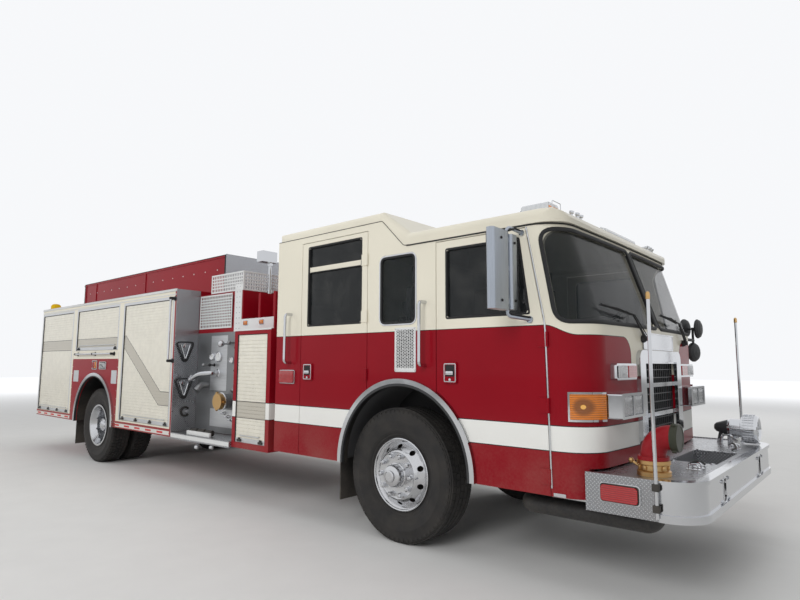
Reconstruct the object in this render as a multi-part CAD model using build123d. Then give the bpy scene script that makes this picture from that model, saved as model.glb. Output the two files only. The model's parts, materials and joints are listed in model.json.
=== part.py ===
from build123d import *
import math
import os

# Fire engine with a four-door cab, side pump and roll-up door body.
# All sizes are millimetres. X points forward, Y to the left and Z up.
# The origin lies on the ground under the middle of the overall length.

# Overall lengths
wheelbase = 5850
front_overhang = 2285
rear_overhang = 2410
front_axle_x = (wheelbase + rear_overhang - front_overhang) / 2
rear_axle_x = front_axle_x - wheelbase

# General clearances
seat_gap = 0.3
panel_gap = 6

# Tyres and rims
front_tyre_radius = 540
front_tyre_width = 315
rear_tyre_radius = 530
rear_tyre_width = 280
front_track_half = 1003
twin_spacing = 330
rear_outer_plane = 1190
rim_seat_radius = 286
rim_flange_radius = 299
rim_width = 230
hand_holes = 10
tread_groove_depth = 12

# Steering
kingpin_y = 900
kingpin_radius = 24
steer_arm_reach = 200
steer_arm_y = 150
tie_rod_z = 400

# Chassis frame
rail_outer_y = 430
rail_bottom_z = 660
rail_height = 254
rail_web = 10
rail_flange = 90
frame_front = 1560
frame_rear_gap = 60
tow_eye_z = 470
tow_eye_y = (370, 400)

# Cab shell, lengths measured forward of the front axle
cab_half_width = 1220
cab_wall = 45
cab_bottom_z = 588
cab_rear = -1560
cab_front_centre = 1735
cab_front_bow = 60
cab_corner_radius = 240
belt_z = 1715
drip_z = 2420
cab_front_top = 1500
cab_top_bow = 18
raised_seam_z = 2666
raised_front = -127
slope_foot = 118
raised_top_z = 2757
low_top_z = 2532
roof_skin = 40
roof_edge_radius = 60
roof_brow = ((1330, 2532), (1420, 2524), (1482, 2494), (1514, 2452))
drip_lip = 22

# Cab openings
arch_x = 90
arch_z = 610
arch_inner_radius = 655
arch_band = 60
arch_liner_radius = 700
arch_liner_reach = 620
rear_door_rear = -1178
rear_door_front = -299
rear_door_top = 2600
front_door_rear = 455
front_door_foot = 1385
front_door_shoulder = 1362
front_door_head = 1235
front_door_top = 2396
rear_window = (-1093, -368, 1793, 2560)
mid_window = (-140, 240, 1774, 2340)
front_window_rear = 545
front_window_low = 1787
front_window_high = 2335
front_window_foot = 1262
front_window_head = 1190
window_radius = 55
glass_thickness = 6

# Cab floor and engine
floor_z = 1290
rear_floor_z = 1000
floor_plate = 50
tunnel_half_width = 400
tunnel_top_z = 1440
engine_size = (1250, 600, 680)
engine_rear = -950
engine_bottom_z = 640
pump_case_radius = 100
exhaust_y = -640
exhaust_pipe_z = 600

# Front bumper and deck
bumper_half_width = 1220
bumper_bottom_z = 539
bumper_top_z = 774
bumper_corner = 215
bumper_lip = 62
bumper_skin = 8
bumper_lip_proud = 12
bumper_foot_lip = 44
bumper_head_lip = 22
bumper_side_rear = 2055
deck_rear = 1620
deck_plate = 12
well_length = 300
well_half_width = 330
well_depth = 190

# Body, lengths measured forward of the rear axle
body_half_width = 1250
body_inner_y = 540
body_bottom_z = 555
body_top_z = 2360
body_front = 2293
rear_recess = 410
tail_lamp_proud = 28
body_rear = rear_overhang - tail_lamp_proud
body_arch_z = 600
body_arch_radius = 640
fenderette_band = 55
fenderette_proud = 30
door_recess = 40
shutter_slat_pitch = 38
hose_bed_half_width = 735
hose_bed_top_z = 2835
hose_bed_wall = 40
hose_bed_front = 2550
tank_bottom_z = 960
tank_top_z = 2250

# Pump house, lengths measured forward of the rear axle
pump_half_width = 930
pump_house_front = 3250
pump_top_z = 2300
pump_bottom_z = 620
crosslay_front = 3865
crosslay_floor_z = 1955
crosslay_top_z = 2240
crosslay_wall = 40
locker_rear = 3550
locker_front = 4195
locker_top_z = 1800
fence_top_z = 2530
guard_plate = 8
guard_pitch = 68
guard_hole = 42
running_board_top_z = 612
running_board_depth = 70

# Levels worked out from the sizes above
rail_top_z = rail_bottom_z + rail_height
deck_top_z = bumper_top_z - bumper_skin - seat_gap
deck_under_z = deck_top_z - deck_plate
cab_floor_under_z = rail_top_z + 8
pump_floor_z = rail_top_z + 20

# Telescoping lamp mast
mast_x = 3290
mast_y = -596
mast_radius = 20
mast_tube_radius = 27
mast_foot_z = 1130
mast_tube_top = 2330
mast_head_z = 2660

# Front suction elbow
suction_x = 1970
suction_y = -1000
suction_pipe_radius = 62
elbow_bend = 110
elbow_radius = 74
elbow_ring_radius = 80


def fx(distance):
    """X of a point this far ahead of the front axle."""
    return front_axle_x + distance


def rx(distance):
    """X of a point this far ahead of the rear axle."""
    return rear_axle_x + distance


def block(x0, x1, y0, y1, z0, z1):
    """Box between two limits on each axis."""
    return Pos((x0 + x1) / 2, (y0 + y1) / 2, (z0 + z1) / 2) * Box(x1 - x0, y1 - y0, z1 - z0)


def prism_y(sketch, y0, y1):
    """Side-view sketch (X, Z) carried across from y0 to y1."""
    return extrude(Plane.XZ.offset(-y1) * sketch, amount=y1 - y0, dir=(0, -1, 0))


def prism_x(sketch, x0, x1):
    """Front-view sketch (Y, Z) carried along from x0 to x1."""
    return extrude(Plane.YZ.offset(x0) * sketch, amount=x1 - x0, dir=(1, 0, 0))


def prism_z(sketch, z0, z1):
    """Plan sketch (X, Y) carried up from z0 to z1."""
    return extrude(Plane.XY.offset(z0) * sketch, amount=z1 - z0, dir=(0, 0, 1))


def panel(x0, x1, z0, z1, radius):
    """Rectangle with round corners between limits, as a sketch."""
    return Pos((x0 + x1) / 2, (z0 + z1) / 2) * RectangleRounded(x1 - x0, z1 - z0, radius)


def outline(*points):
    """Straight-sided sketch through the points given."""
    return Polygon(*points, align=None)


def mirrored(shape):
    """The same piece on the other side of the vehicle."""
    return mirror(shape, about=Plane.XZ)


def pair(shape):
    """A piece on the left side and its mirror on the right side."""
    return [shape, mirrored(shape)]


def rod_y(x, z, radius, y0, y1):
    """Round bar across the vehicle."""
    return Pos(x, (y0 + y1) / 2, z) * Rot(90, 0, 0) * Cylinder(radius, y1 - y0)


def rod_x(y, z, radius, x0, x1):
    """Round bar along the vehicle."""
    return Pos((x0 + x1) / 2, y, z) * Rot(0, 90, 0) * Cylinder(radius, x1 - x0)


def rod_z(x, y, radius, z0, z1):
    """Upright round bar."""
    return Pos(x, y, (z0 + z1) / 2) * Cylinder(radius, z1 - z0)


def bent_tube(points, radius, bend):
    """Tube of one diameter along straight runs with round bends."""
    path = FilletPolyline(*points, radius=bend)
    return sweep((path ^ 0) * Circle(radius), path=path)


def joined(shapes):
    """Pieces that touch, made one solid."""
    whole = shapes[0]
    for shape in shapes[1:]:
        whole = whole + shape
    return whole


# Wheels


def tyre_profile(radius, width):
    """Tyre section: bead, bulged wall, round shoulder, grooved tread."""
    bead = rim_width / 2 - 12
    half = width / 2
    crown = half - 30
    shoulder = radius - 26
    bulge = (rim_flange_radius + radius) / 2
    line = Polyline((rim_seat_radius + 40, bead - 22), (rim_seat_radius + seat_gap, bead - 22),
                    (rim_seat_radius + seat_gap, bead), (rim_flange_radius + 6, bead + 2))
    wall = ThreePointArc((rim_flange_radius + 6, bead + 2), (bulge, half), (shoulder, crown + 16))
    tread = Polyline((shoulder, crown + 16), (radius, crown), (radius, -crown), (shoulder, -crown - 16))
    far_wall = ThreePointArc((shoulder, -crown - 16), (bulge, -half), (rim_flange_radius + 6, -bead - 2))
    far_bead = Polyline((rim_flange_radius + 6, -bead - 2), (rim_seat_radius + seat_gap, -bead),
                        (rim_seat_radius + seat_gap, 22 - bead), (rim_seat_radius + 40, 22 - bead),
                        (rim_seat_radius + 40, bead - 22))
    face = make_face([line, wall, tread, far_wall, far_bead])
    for share in (-0.5, 0, 0.5):
        groove = Pos(radius, share * crown) * Rectangle(2 * tread_groove_depth, 12)
        face = face - groove
    return face


def rim_profile(disc_face, disc_lean, hub_radius):
    """Rim section: two flanges, a drop centre and a dished disc."""
    half = rim_width / 2
    barrel = outline((rim_flange_radius, half + 8), (rim_flange_radius, half - 4),
                     (rim_seat_radius, half - 10), (rim_seat_radius, half - 44),
                     (rim_seat_radius - 30, half - 70), (rim_seat_radius - 30, 44 - half),
                     (rim_seat_radius, 24 - half), (rim_seat_radius, 10 - half),
                     (rim_flange_radius, 4 - half), (rim_flange_radius, -half - 8),
                     (rim_seat_radius - 12, -half - 8), (rim_seat_radius - 44, 50 - half),
                     (rim_seat_radius - 44, half - 78), (rim_seat_radius - 12, half + 8))
    disc = outline((rim_seat_radius - 40, disc_face - disc_lean),
                   (rim_seat_radius - 40, disc_face - disc_lean - 14),
                   (200, disc_face - 14), (hub_radius, disc_face - 14), (hub_radius, disc_face),
                   (196, disc_face))
    return barrel + disc


def hand_hole_cutters(radius, size):
    """Round holes through the wheel disc, one at each even step."""
    step = 360 / hand_holes
    return [Rot(0, step * (i + 0.5), 0) * Pos(radius, 0, 0) * Rot(90, 0, 0) * Cylinder(size, 400)
            for i in range(hand_holes)]


def rim(disc_face, disc_lean, hub_radius):
    """One rim with its hand holes."""
    solid = revolve(rim_profile(disc_face, disc_lean, hub_radius), axis=Axis.Y)
    for cutter in hand_hole_cutters(224, 24):
        solid = solid - cutter
    return solid


front_disc_face = 52
hub_flange_radius = 170
hub_nose_radius = 92
hub_bore_radius = 46


def front_hub():
    """Hub inside the front wheel: flange behind the disc and a nose through it."""
    flange_back = front_disc_face - 14
    section = outline((hub_bore_radius, flange_back - 45), (120, flange_back - 45), (120, flange_back - 16),
                      (hub_flange_radius, flange_back - 16), (hub_flange_radius, flange_back),
                      (hub_nose_radius + 22, flange_back), (hub_nose_radius + 22, front_disc_face),
                      (hub_nose_radius, front_disc_face + 4), (hub_nose_radius, front_disc_face + 66),
                      (hub_nose_radius - 14, front_disc_face + 80), (hub_bore_radius, front_disc_face + 80))
    return revolve(section, axis=Axis.Y)


def front_rim_solid():
    """Front rim and hub in one piece."""
    return rim(front_disc_face, 30, hub_nose_radius + 22) + front_hub()


def wheel_at(solid, x, y, z, side):
    """A wheel drawn facing +Y, moved to its axle on the given side."""
    turned_solid = solid if side > 0 else mirrored(solid)
    return Pos(x, side * y, z) * turned_solid


front_tyre_solid = revolve(tyre_profile(front_tyre_radius, front_tyre_width), axis=Axis.Y)
front_rim = front_rim_solid()
rear_tyre_solid = revolve(tyre_profile(rear_tyre_radius, rear_tyre_width), axis=Axis.Y)
rear_hub_radius = 112


def rear_twin_rims():
    """Outer and inner rims bolted disc to disc on one hub, facing +Y from the outer plane."""
    outer_y = rear_outer_plane - rear_tyre_width / 2
    inner_y = outer_y - twin_spacing
    disc = -twin_spacing / 2
    outer = Pos(0, outer_y, 0) * rim(disc + 14, -90, rear_hub_radius)
    inner = Pos(0, inner_y, 0) * mirrored(rim(disc + 14, -90, rear_hub_radius))
    hub_section = outline((76, inner_y + 60), (rear_hub_radius, inner_y + 60),
                          (rear_hub_radius, outer_y - 10), (92, outer_y + 10), (92, outer_y + 46),
                          (0, outer_y + 46), (0, outer_y + 26), (76, outer_y + 26))
    return joined([outer, inner, revolve(hub_section, axis=Axis.Y)])


rear_rim_solid = rear_twin_rims()


def rear_tyres(side):
    """Two tyres side by side."""
    outer_y = rear_outer_plane - rear_tyre_width / 2
    return [wheel_at(rear_tyre_solid, rear_axle_x, outer_y - i * twin_spacing, rear_tyre_radius, side)
            for i in range(2)]


def rear_rims(side):
    """Twin rims on their hub."""
    return [wheel_at(rear_rim_solid, rear_axle_x, 0, rear_tyre_radius, side)]


# Axles and steering

axle_beam_drop = 90
axle_beam_height = 110
axle_beam_width = 110
kingpin_boss = 62
kingpin_boss_height = 150
knuckle_gap = 8
spring_y = 430
spring_width = 80
front_spring_half = 720
spring_pack = 60


def leaf_spring(x, pad_z, half_length, eye_z):
    """Leaf pack from eye to eye over the axle pad, thinner towards its ends."""
    pack = outline((x - half_length, eye_z - 12), (x - half_length, eye_z + 12),
                   (x - 120, pad_z + spring_pack), (x + 120, pad_z + spring_pack),
                   (x + half_length, eye_z + 12), (x + half_length, eye_z - 12),
                   (x + 320, pad_z + 16), (x + 120, pad_z), (x - 120, pad_z), (x - 320, pad_z + 16))
    leaf = prism_y(pack, spring_y - spring_width / 2, spring_y + spring_width / 2)
    for end in (-1, 1):
        x_eye = x + end * half_length
        leaf = leaf + rod_y(x_eye, eye_z, 36, spring_y - spring_width / 2, spring_y + spring_width / 2)
        hanger = outline((x_eye - 45, eye_z), (x_eye + 45, eye_z), (x_eye + 70, rail_bottom_z),
                         (x_eye - 70, rail_bottom_z))
        leaf = leaf + prism_y(hanger, spring_y - spring_width / 2 + 10, spring_y + spring_width / 2 - 10)
    return leaf


def front_axle():
    """Dropped beam with upright kingpin bosses, and a leaf spring on each side."""
    z = front_tyre_radius
    low = z - axle_beam_drop
    half = axle_beam_height / 2
    inner = spring_y + 80
    boss_y = kingpin_y - kingpin_boss + 4
    beam = prism_x(outline((-inner, low - half), (inner, low - half), (boss_y, z - half),
                           (boss_y, z + half), (inner - 30, low + half), (30 - inner, low + half),
                           (-boss_y, z + half), (-boss_y, z - half)),
                   front_axle_x - axle_beam_width / 2, front_axle_x + axle_beam_width / 2)
    flute = prism_x(Pos(0, low) * Rectangle(2 * inner - 100, axle_beam_height - 56),
                    front_axle_x + 18, front_axle_x + axle_beam_width / 2)
    beam = beam - flute - mirror(flute, about=Plane.YZ.offset(front_axle_x))
    for side in (-1, 1):
        boss = rod_z(front_axle_x, side * kingpin_y, kingpin_boss, z - kingpin_boss_height / 2,
                     z + kingpin_boss_height / 2)
        bore = rod_z(front_axle_x, side * kingpin_y, kingpin_radius, z - kingpin_boss_height,
                     z + kingpin_boss_height)
        beam = beam + boss - bore
    springs = leaf_spring(front_axle_x, low + half, front_spring_half, rail_bottom_z - 70)
    return [joined([beam] + pair(springs))]


def knuckle(side):
    """Forked knuckle with its kingpin, drum, spindle and steering arm."""
    z = front_tyre_radius
    reach = kingpin_boss_height / 2 + knuckle_gap
    ear = 46
    pin = rod_z(front_axle_x, kingpin_y, kingpin_radius - 0.05, z - reach - ear, z + reach + ear)
    ears = [rod_z(front_axle_x, kingpin_y, 52, z + reach, z + reach + ear),
            rod_z(front_axle_x, kingpin_y, 52, z - reach - ear, z - reach)]
    web_inner = kingpin_y + kingpin_boss + 10
    yoke = block(front_axle_x - 52, front_axle_x + 52, web_inner, web_inner + 16, z - reach - ear,
                 z + reach + ear)
    bridges = [block(front_axle_x - 52, front_axle_x + 52, kingpin_y, web_inner + 16, z + reach,
                     z + reach + ear),
               block(front_axle_x - 52, front_axle_x + 52, kingpin_y, web_inner + 16, z - reach - ear,
                     z - reach)]
    plate = rod_y(front_axle_x, z, 190, web_inner + 6, web_inner + 16)
    spindle = rod_y(front_axle_x, z, hub_bore_radius - 0.05, web_inner,
                    front_track_half + front_disc_face + 60)
    arm_y = kingpin_y - steer_arm_y
    arm = bent_tube([(front_axle_x, kingpin_y, z - reach - 26), (front_axle_x - 60, kingpin_y, tie_rod_z),
                     (front_axle_x - steer_arm_reach, arm_y, tie_rod_z)], 17, 30)
    eye = rod_z(front_axle_x - steer_arm_reach, arm_y, 30, tie_rod_z - 22, tie_rod_z + 22)
    solid = joined([pin] + ears + [yoke] + bridges + [plate, spindle, arm, eye])
    return [solid if side > 0 else mirrored(solid)]


def tie_rod():
    """Bar between the two steering arms, hung below their eyes."""
    arm_y = kingpin_y - steer_arm_y
    x = front_axle_x - steer_arm_reach
    z = tie_rod_z - 60
    bar = rod_y(x, z, 22, -arm_y, arm_y)
    ends = [rod_z(x, side * arm_y, 28, z - 24, tie_rod_z - 22 - seat_gap) for side in (-1, 1)]
    return [joined([bar] + ends)]


def rear_axle():
    """Banjo housing with tubes out to the hubs, and a leaf spring on each side."""
    z = rear_tyre_radius
    inner_plane = rear_outer_plane - rear_tyre_width / 2 - twin_spacing
    tube = rod_y(rear_axle_x, z, 68, -inner_plane - 10, inner_plane + 10)
    bowl = Pos(rear_axle_x, 0, z) * Rot(0, 90, 0) * Cylinder(210, 190)
    nose = Pos(rear_axle_x + 160, 0, z + 40) * Rot(0, 90, 0) * Cone(130, 70, 170)
    spindle = rod_y(rear_axle_x, z, 75.9, -inner_plane - 100, inner_plane + 100)
    drums = [rod_y(rear_axle_x, z, 205, side * (inner_plane - 100) - 60, side * (inner_plane - 100) + 60)
             for side in (-1, 1)]
    springs = leaf_spring(rear_axle_x, z + 60, 760, rail_bottom_z - 50)
    return [joined([tube, bowl, nose, spindle] + drums + pair(springs))]


# Chassis


def frame_rails():
    """Two channel rails with cross members, front extensions and rear tow eyes."""
    x0 = rx(-body_rear + frame_rear_gap)
    x1 = fx(frame_front)
    top = rail_bottom_z + rail_height
    rail = block(x0, x1, rail_outer_y - rail_flange, rail_outer_y, rail_bottom_z, top)
    hollow = block(x0 - 1, x1 + 1, rail_outer_y - rail_flange - 1, rail_outer_y - rail_web,
                   rail_bottom_z + rail_web, top - rail_web)
    channel = rail - hollow
    ext_y0, ext_y1 = rail_outer_y - 80, rail_outer_y
    bumper_back = front_overhang - bumper_lip_proud - bumper_skin
    extension = block(x1 - 260, fx(bumper_back) - seat_gap, ext_y0, ext_y1,
                      bumper_bottom_z + 40, rail_bottom_z)
    deck_post = block(fx(1720), fx(1780), ext_y0, ext_y1, rail_bottom_z - 1, deck_under_z - seat_gap)
    eye = block(x0 - 50, x0 + 60, *tow_eye_y, tow_eye_z, top - 60)
    eye = eye + rod_y(x0 + 5, tow_eye_z, 55, *tow_eye_y)
    eye_hole = rod_y(x0 + 5, tow_eye_z, 25, rail_outer_y - 80, rail_outer_y)
    pads = [block(fx(x), fx(x) + 120, rail_outer_y - 60, rail_outer_y, top - 1, cab_floor_under_z - seat_gap)
            for x in (-1450, -500, 1350)]
    side = joined([channel, extension, deck_post] + pads) + (eye - eye_hole)
    # Cross members: x, lower edge, upper edge, half length along the frame
    members = [(x0 + 120, 707, 867, 40), (rx(-900), 707, 867, 35), (rx(900), 730, 867, 35),
               (rx(2000), 830, 900, 35), (fx(-1620), 672, 760, 35), (fx(frame_front - 60), 727, 847, 40)]
    bars = [block(x - length, x + length, -rail_outer_y + rail_web, rail_outer_y - rail_web, low, high)
            for x, low, high, length in members]
    sides = pair(side)
    return [joined(sides + bars)]


def engine_and_drive():
    """Engine as a plain block, gearbox, pump gear case and drive shafts in line."""
    length, width, height = engine_size
    x0 = fx(engine_rear)
    z_shaft = engine_bottom_z + 190
    engine = block(x0, x0 + length, -width / 2, width / 2, engine_bottom_z, engine_bottom_z + height)
    gearbox = rod_x(0, z_shaft, 190, x0 - 560, x0)
    pump_x = rx(pump_house_front - 400)
    shafts = [rod_x(0, z_shaft, 55, pump_x + 200, x0 - 560)]
    case = rod_x(0, z_shaft, pump_case_radius, pump_x - 150, pump_x + 200)
    axle_nose = rear_axle_x + 246
    rear_shaft = bent_tube([(pump_x - 150, 0, z_shaft), (pump_x - 300, 0, z_shaft - 20),
                            (axle_nose + 330, 0, rear_tyre_radius + 40),
                            (axle_nose, 0, rear_tyre_radius + 40)],
                           50, 120)
    feet = [block(fx(x), fx(x) + 90, side * (width / 2 + 15) - 25, side * (width / 2 + 15) + 25,
                  rail_bottom_z, rail_bottom_z + 60) for x in (-800, 120) for side in (-1, 1)]
    return [joined([engine, gearbox] + shafts + [case, rear_shaft] + feet)]


def fuel_tank():
    """Tank slung between the rails behind the rear axle."""
    x0 = rx(-body_rear + 420)
    tank = panel(x0, x0 + 900, rail_bottom_z - 190, rail_bottom_z - 20, 40)
    half = rail_outer_y - rail_flange - 20
    straps = [block(x0 + dx, x0 + dx + 40, side * half - 30, side * half + 30, rail_bottom_z - 21,
                    rail_bottom_z - seat_gap) for dx in (150, 700) for side in (-1, 1)]
    return [joined([prism_y(tank, -half, half)] + straps)]


def suction_pipe():
    """Pipe from the pump under the frame to the swivel on the front deck."""
    pump_x = rx(pump_house_front - 300)
    z_low = 470
    z_over_axle = 575
    y_frame = -200
    y = suction_y
    pipe = bent_tube([(pump_x, -pump_case_radius - seat_gap, 830), (pump_x, y_frame, 830),
                      (pump_x, y_frame, z_over_axle), (fx(1100), y_frame, z_over_axle), (fx(1100), y, z_low),
                      (fx(suction_x), y, z_low), (fx(suction_x), y, 620)], suction_pipe_radius, 66)
    collar = rod_z(fx(suction_x), y, suction_pipe_radius + 16, 600, deck_under_z - seat_gap)
    return [pipe + collar]


def exhaust():
    """Exhaust pipe under the frame rail, silencer below the pump house, outlet ahead of the rear wheels."""
    y, z = exhaust_y, 760
    x0, x1 = rx(2520), rx(3320)
    silencer = rod_x(y, z, 105, x0, x1)
    z_pipe = exhaust_pipe_z
    down = bent_tube([(x1, y, z), (x1 + 120, y, z), (x1 + 320, y, z_pipe), (fx(-900), y, z_pipe),
                      (fx(-900), -engine_size[1] / 2 - seat_gap, z_pipe)], 45, 80)
    tail = bent_tube([(x0, y, z), (x0 - 130, y, z), (x0 - 130, y, 500), (x0 - 130, -905, 500)], 45, 80)
    straps = [block(x, x + 40, y - 60, y + 60, z + 60, pump_floor_z - seat_gap) for x in (x0 + 120, x1 - 160)]
    return [joined([silencer, down, tail] + straps)]


def tank_and_pipes():
    """Fuel tank, front suction pipe and exhaust."""
    return fuel_tank() + suction_pipe() + exhaust()


# Cab


def plan_face(rear, front, bow, half, radius):
    """Cab in plan: straight rear and sides, bowed front, round front corners."""
    sides = Polyline((front - bow, -half), (rear, -half), (rear, half), (front - bow, half))
    nose = ThreePointArc((front - bow, half), (front, 0), (front - bow, -half))
    face = make_face([sides, nose])
    return fillet(face.vertices().sort_by(Axis.X)[-2:], radius)


def cab_form(inset):
    """Outer form of the cab up to the drip line, shrunk by an inset."""
    half = cab_half_width - inset
    rear = fx(cab_rear) + inset
    low = plan_face(rear, fx(cab_front_centre) - inset, cab_front_bow, half, cab_corner_radius - inset)
    high = plan_face(rear, fx(cab_front_top) - inset, cab_top_bow, half, cab_corner_radius - inset)
    lower = prism_z(low, cab_bottom_z, belt_z)
    upper = loft([Plane.XY.offset(belt_z) * low, Plane.XY.offset(drip_z) * high], ruled=True)
    return lower + upper


def side_top_profile():
    """Side wall above the drip line, under the raised roof."""
    return outline((fx(cab_rear), drip_z), (fx(cab_rear), raised_seam_z), (fx(raised_front), raised_seam_z),
                   (fx(slope_foot), drip_z))


def front_edge_x(z, offset):
    """X of the front door's front edge at a height, moved forward by an offset."""
    points = [(cab_bottom_z, front_door_foot), (belt_z, front_door_shoulder), (front_door_top, front_door_head),
              (drip_z, front_door_head - 5)]
    for (z0, x0), (z1, x1) in zip(points, points[1:]):
        if z <= z1:
            return fx(x0 + (x1 - x0) * (z - z0) / (z1 - z0) + offset)
    return fx(points[-1][1] + offset)


def ahead_of_front_door(offset):
    """Side-view region ahead of the front door's front edge."""
    far = fx(front_overhang)
    return outline((front_edge_x(cab_bottom_z, offset), cab_bottom_z - 50), (far, cab_bottom_z - 50),
                   (far, drip_z), (front_edge_x(drip_z, offset), drip_z), (front_edge_x(belt_z, offset), belt_z))


def front_door_region(grow):
    """Side-view region of the front door, grown by a gap."""
    arch = Pos(fx(arch_x), arch_z) * Circle(arch_inner_radius + arch_band + panel_gap - grow)
    top = front_door_top + grow
    bottom = cab_bottom_z - (50 if grow else 0)
    region = outline((fx(front_door_rear) - grow, bottom), (fx(front_door_rear) - grow, top),
                     (front_edge_x(front_door_top, grow), top), (front_edge_x(belt_z, grow), belt_z),
                     (front_edge_x(cab_bottom_z, grow), bottom))
    return region - arch


def rear_door_region(grow):
    """Side-view region of the rear door, grown by a gap."""
    arch = Pos(fx(arch_x), arch_z) * Circle(arch_inner_radius + arch_band + panel_gap - grow)
    bottom = cab_bottom_z - (50 if grow else 0)
    region = outline((fx(rear_door_rear) - grow, bottom), (fx(rear_door_rear) - grow, rear_door_top + grow),
                     (fx(rear_door_front) + grow, rear_door_top + grow), (fx(rear_door_front) + grow, bottom))
    return region - arch


def front_window_region(inset):
    """Front door window: upright rear edge, front edge along the door's slant."""
    r = front_window_rear + inset
    region = outline((fx(r), front_window_low + inset), (fx(r), front_window_high - inset),
                     (fx(front_window_head - inset), front_window_high - inset),
                     (fx(front_window_foot - inset), front_window_low + inset))
    return fillet(region.vertices(), window_radius - inset)


def box_window_region(window, inset):
    """Upright window with round corners."""
    x0, x1, z0, z1 = window
    return panel(fx(x0) + inset, fx(x1) - inset, z0 + inset, z1 - inset, window_radius - inset)


wall_y0 = cab_half_width - cab_wall
wall_y1 = cab_half_width
cut_y0, cut_y1 = wall_y0 - 10, wall_y1 + 10
glass_y0 = cab_half_width - 26
glass_y1 = glass_y0 + glass_thickness


def cab_sides():
    """Fixed side walls: rear pillar, arch band, middle panel with window, and header."""
    wall = block(fx(cab_rear) + cab_wall, front_edge_x(belt_z, panel_gap), wall_y0, wall_y1, cab_bottom_z,
                 drip_z)
    upper = prism_y(side_top_profile(), wall_y0, wall_y1)
    rear_trim = block(fx(cab_rear) - 1, fx(cab_rear) + cab_wall, wall_y0 - 1, wall_y1 + 1, drip_z - 1,
                      raised_seam_z + 1)
    wall = wall + (upper - rear_trim)
    wall = wall - prism_y(ahead_of_front_door(panel_gap), cut_y0, cut_y1)
    wall = wall - prism_y(front_door_region(panel_gap), cut_y0, cut_y1)
    wall = wall - prism_y(rear_door_region(panel_gap), cut_y0, cut_y1)
    wall = wall - prism_y(Pos(fx(arch_x), arch_z) * Circle(arch_inner_radius), cut_y0, cut_y1)
    wall = wall - prism_y(box_window_region(mid_window, 0), cut_y0, cut_y1)
    return pair(wall)


corner_post_x = 1670
corner_post_y = 1290
screen_low_z = 1724
screen_high_z = 2372
screen_middle = 32
screen_foot = 1456
screen_head = 1334
screen_radius = 105


def windscreen_cutter(inset):
    """Wrap-round windscreen pane on the left half, as a cutting form."""
    low, high = screen_low_z + inset, screen_high_z - inset
    front = panel(screen_middle + inset, cab_half_width + 200, low, high, 45)
    side = outline((fx(screen_foot) + inset, low), (fx(screen_head) + inset, high),
                   (fx(front_overhang), high), (fx(front_overhang), low))
    side = fillet(side.vertices().sort_by(Axis.X)[:2], screen_radius - inset)
    return prism_x(front, fx(1300), fx(front_overhang)) & prism_y(side, 0, cab_half_width + 50)


grille_half_width = 400
grille_low_z = 900
grille_high_z = 1475
grille_surround = 108
grille_columns = 16
grille_rows = 9
grille_cell_width = 49
grille_cell_height = 62
lamp_low_z = 1090
lamp_high_z = 1255
lamp_inner_y = 600
lamp_outer_y = 1040
lamp_back = 1620
lamp_face = 1806
lens_back = 1775
lens_face = 1800
head_lamps = ((640, 815), (830, 1005))
warning_lamps = ((570, 735), (750, 925))
warning_low_z = 1338
warning_high_z = 1450


def cab_front():
    """Nose panel with corner turns, windscreen opening, grille opening and bumper notch."""
    shell = cab_form(0) - cab_form(cab_wall)
    shell = shell & prism_y(ahead_of_front_door(panel_gap), -cab_half_width - 1, cab_half_width + 1)
    cutter = windscreen_cutter(0)
    shell = shell - cutter - mirrored(cutter)
    grille = prism_x(Pos(0, (grille_low_z + grille_high_z) / 2)
                     * Rectangle(2 * grille_half_width, grille_high_z - grille_low_z),
                     fx(1500), fx(front_overhang))
    notch = block(fx(deck_rear), fx(front_overhang), -cab_half_width - 5, cab_half_width + 5,
                  cab_bottom_z - 5, bumper_top_z + 4)
    lamp_cut = block(fx(lamp_back), fx(front_overhang), lamp_inner_y, lamp_outer_y, lamp_low_z, lamp_high_z)
    return [shell - grille - notch - lamp_cut - mirrored(lamp_cut)]


def cab_glass():
    """Two windscreen panes and the fixed middle side windows."""
    skin = cab_form(14) - cab_form(14 + glass_thickness)
    pane = skin & windscreen_cutter(0.5)
    side = prism_y(box_window_region(mid_window, 0.5), glass_y0, glass_y1)
    return pair(pane) + pair(side)


def cab_rear_wall():
    """Flat rear wall from the cab floor line to the raised roof seam."""
    wall = block(fx(cab_rear), fx(cab_rear) + cab_wall, -cab_half_width, cab_half_width, cab_bottom_z,
                 raised_seam_z)
    middle = block(fx(cab_rear) - 1, fx(cab_rear) + cab_wall + 1, -tunnel_half_width - 60,
                   tunnel_half_width + 60, cab_bottom_z - 1, rear_floor_z - 10)
    pipe_notch = block(fx(cab_rear) - 1, fx(cab_rear) + cab_wall + 1, exhaust_y - 60, exhaust_y + 60,
                       cab_bottom_z - 1, exhaust_pipe_z + 60)
    return [wall - middle - pipe_notch]


def roof_form(inset, lower):
    """Stepped roof as one closed form with round side edges."""
    rear = fx(cab_rear) + inset
    half = cab_half_width - inset
    top = outline((rear, drip_z - lower), (rear, raised_top_z - inset),
                  (fx(raised_front) - 20, raised_top_z - inset),
                  (fx(slope_foot) + 40, low_top_z - inset),
                  *[(fx(x) - inset * i / 3, z - inset * (3 - i) / 3) for i, (x, z) in enumerate(roof_brow)],
                  (fx(cab_front_top) + drip_lip - inset, drip_z - lower))
    form = prism_y(top, -half, half)
    long_edges = [e for e in form.edges()
                  if abs(abs(e.center().Y) - half) < 1 and e.center().Z > drip_z + 60]
    return fillet(long_edges, roof_edge_radius)


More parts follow.
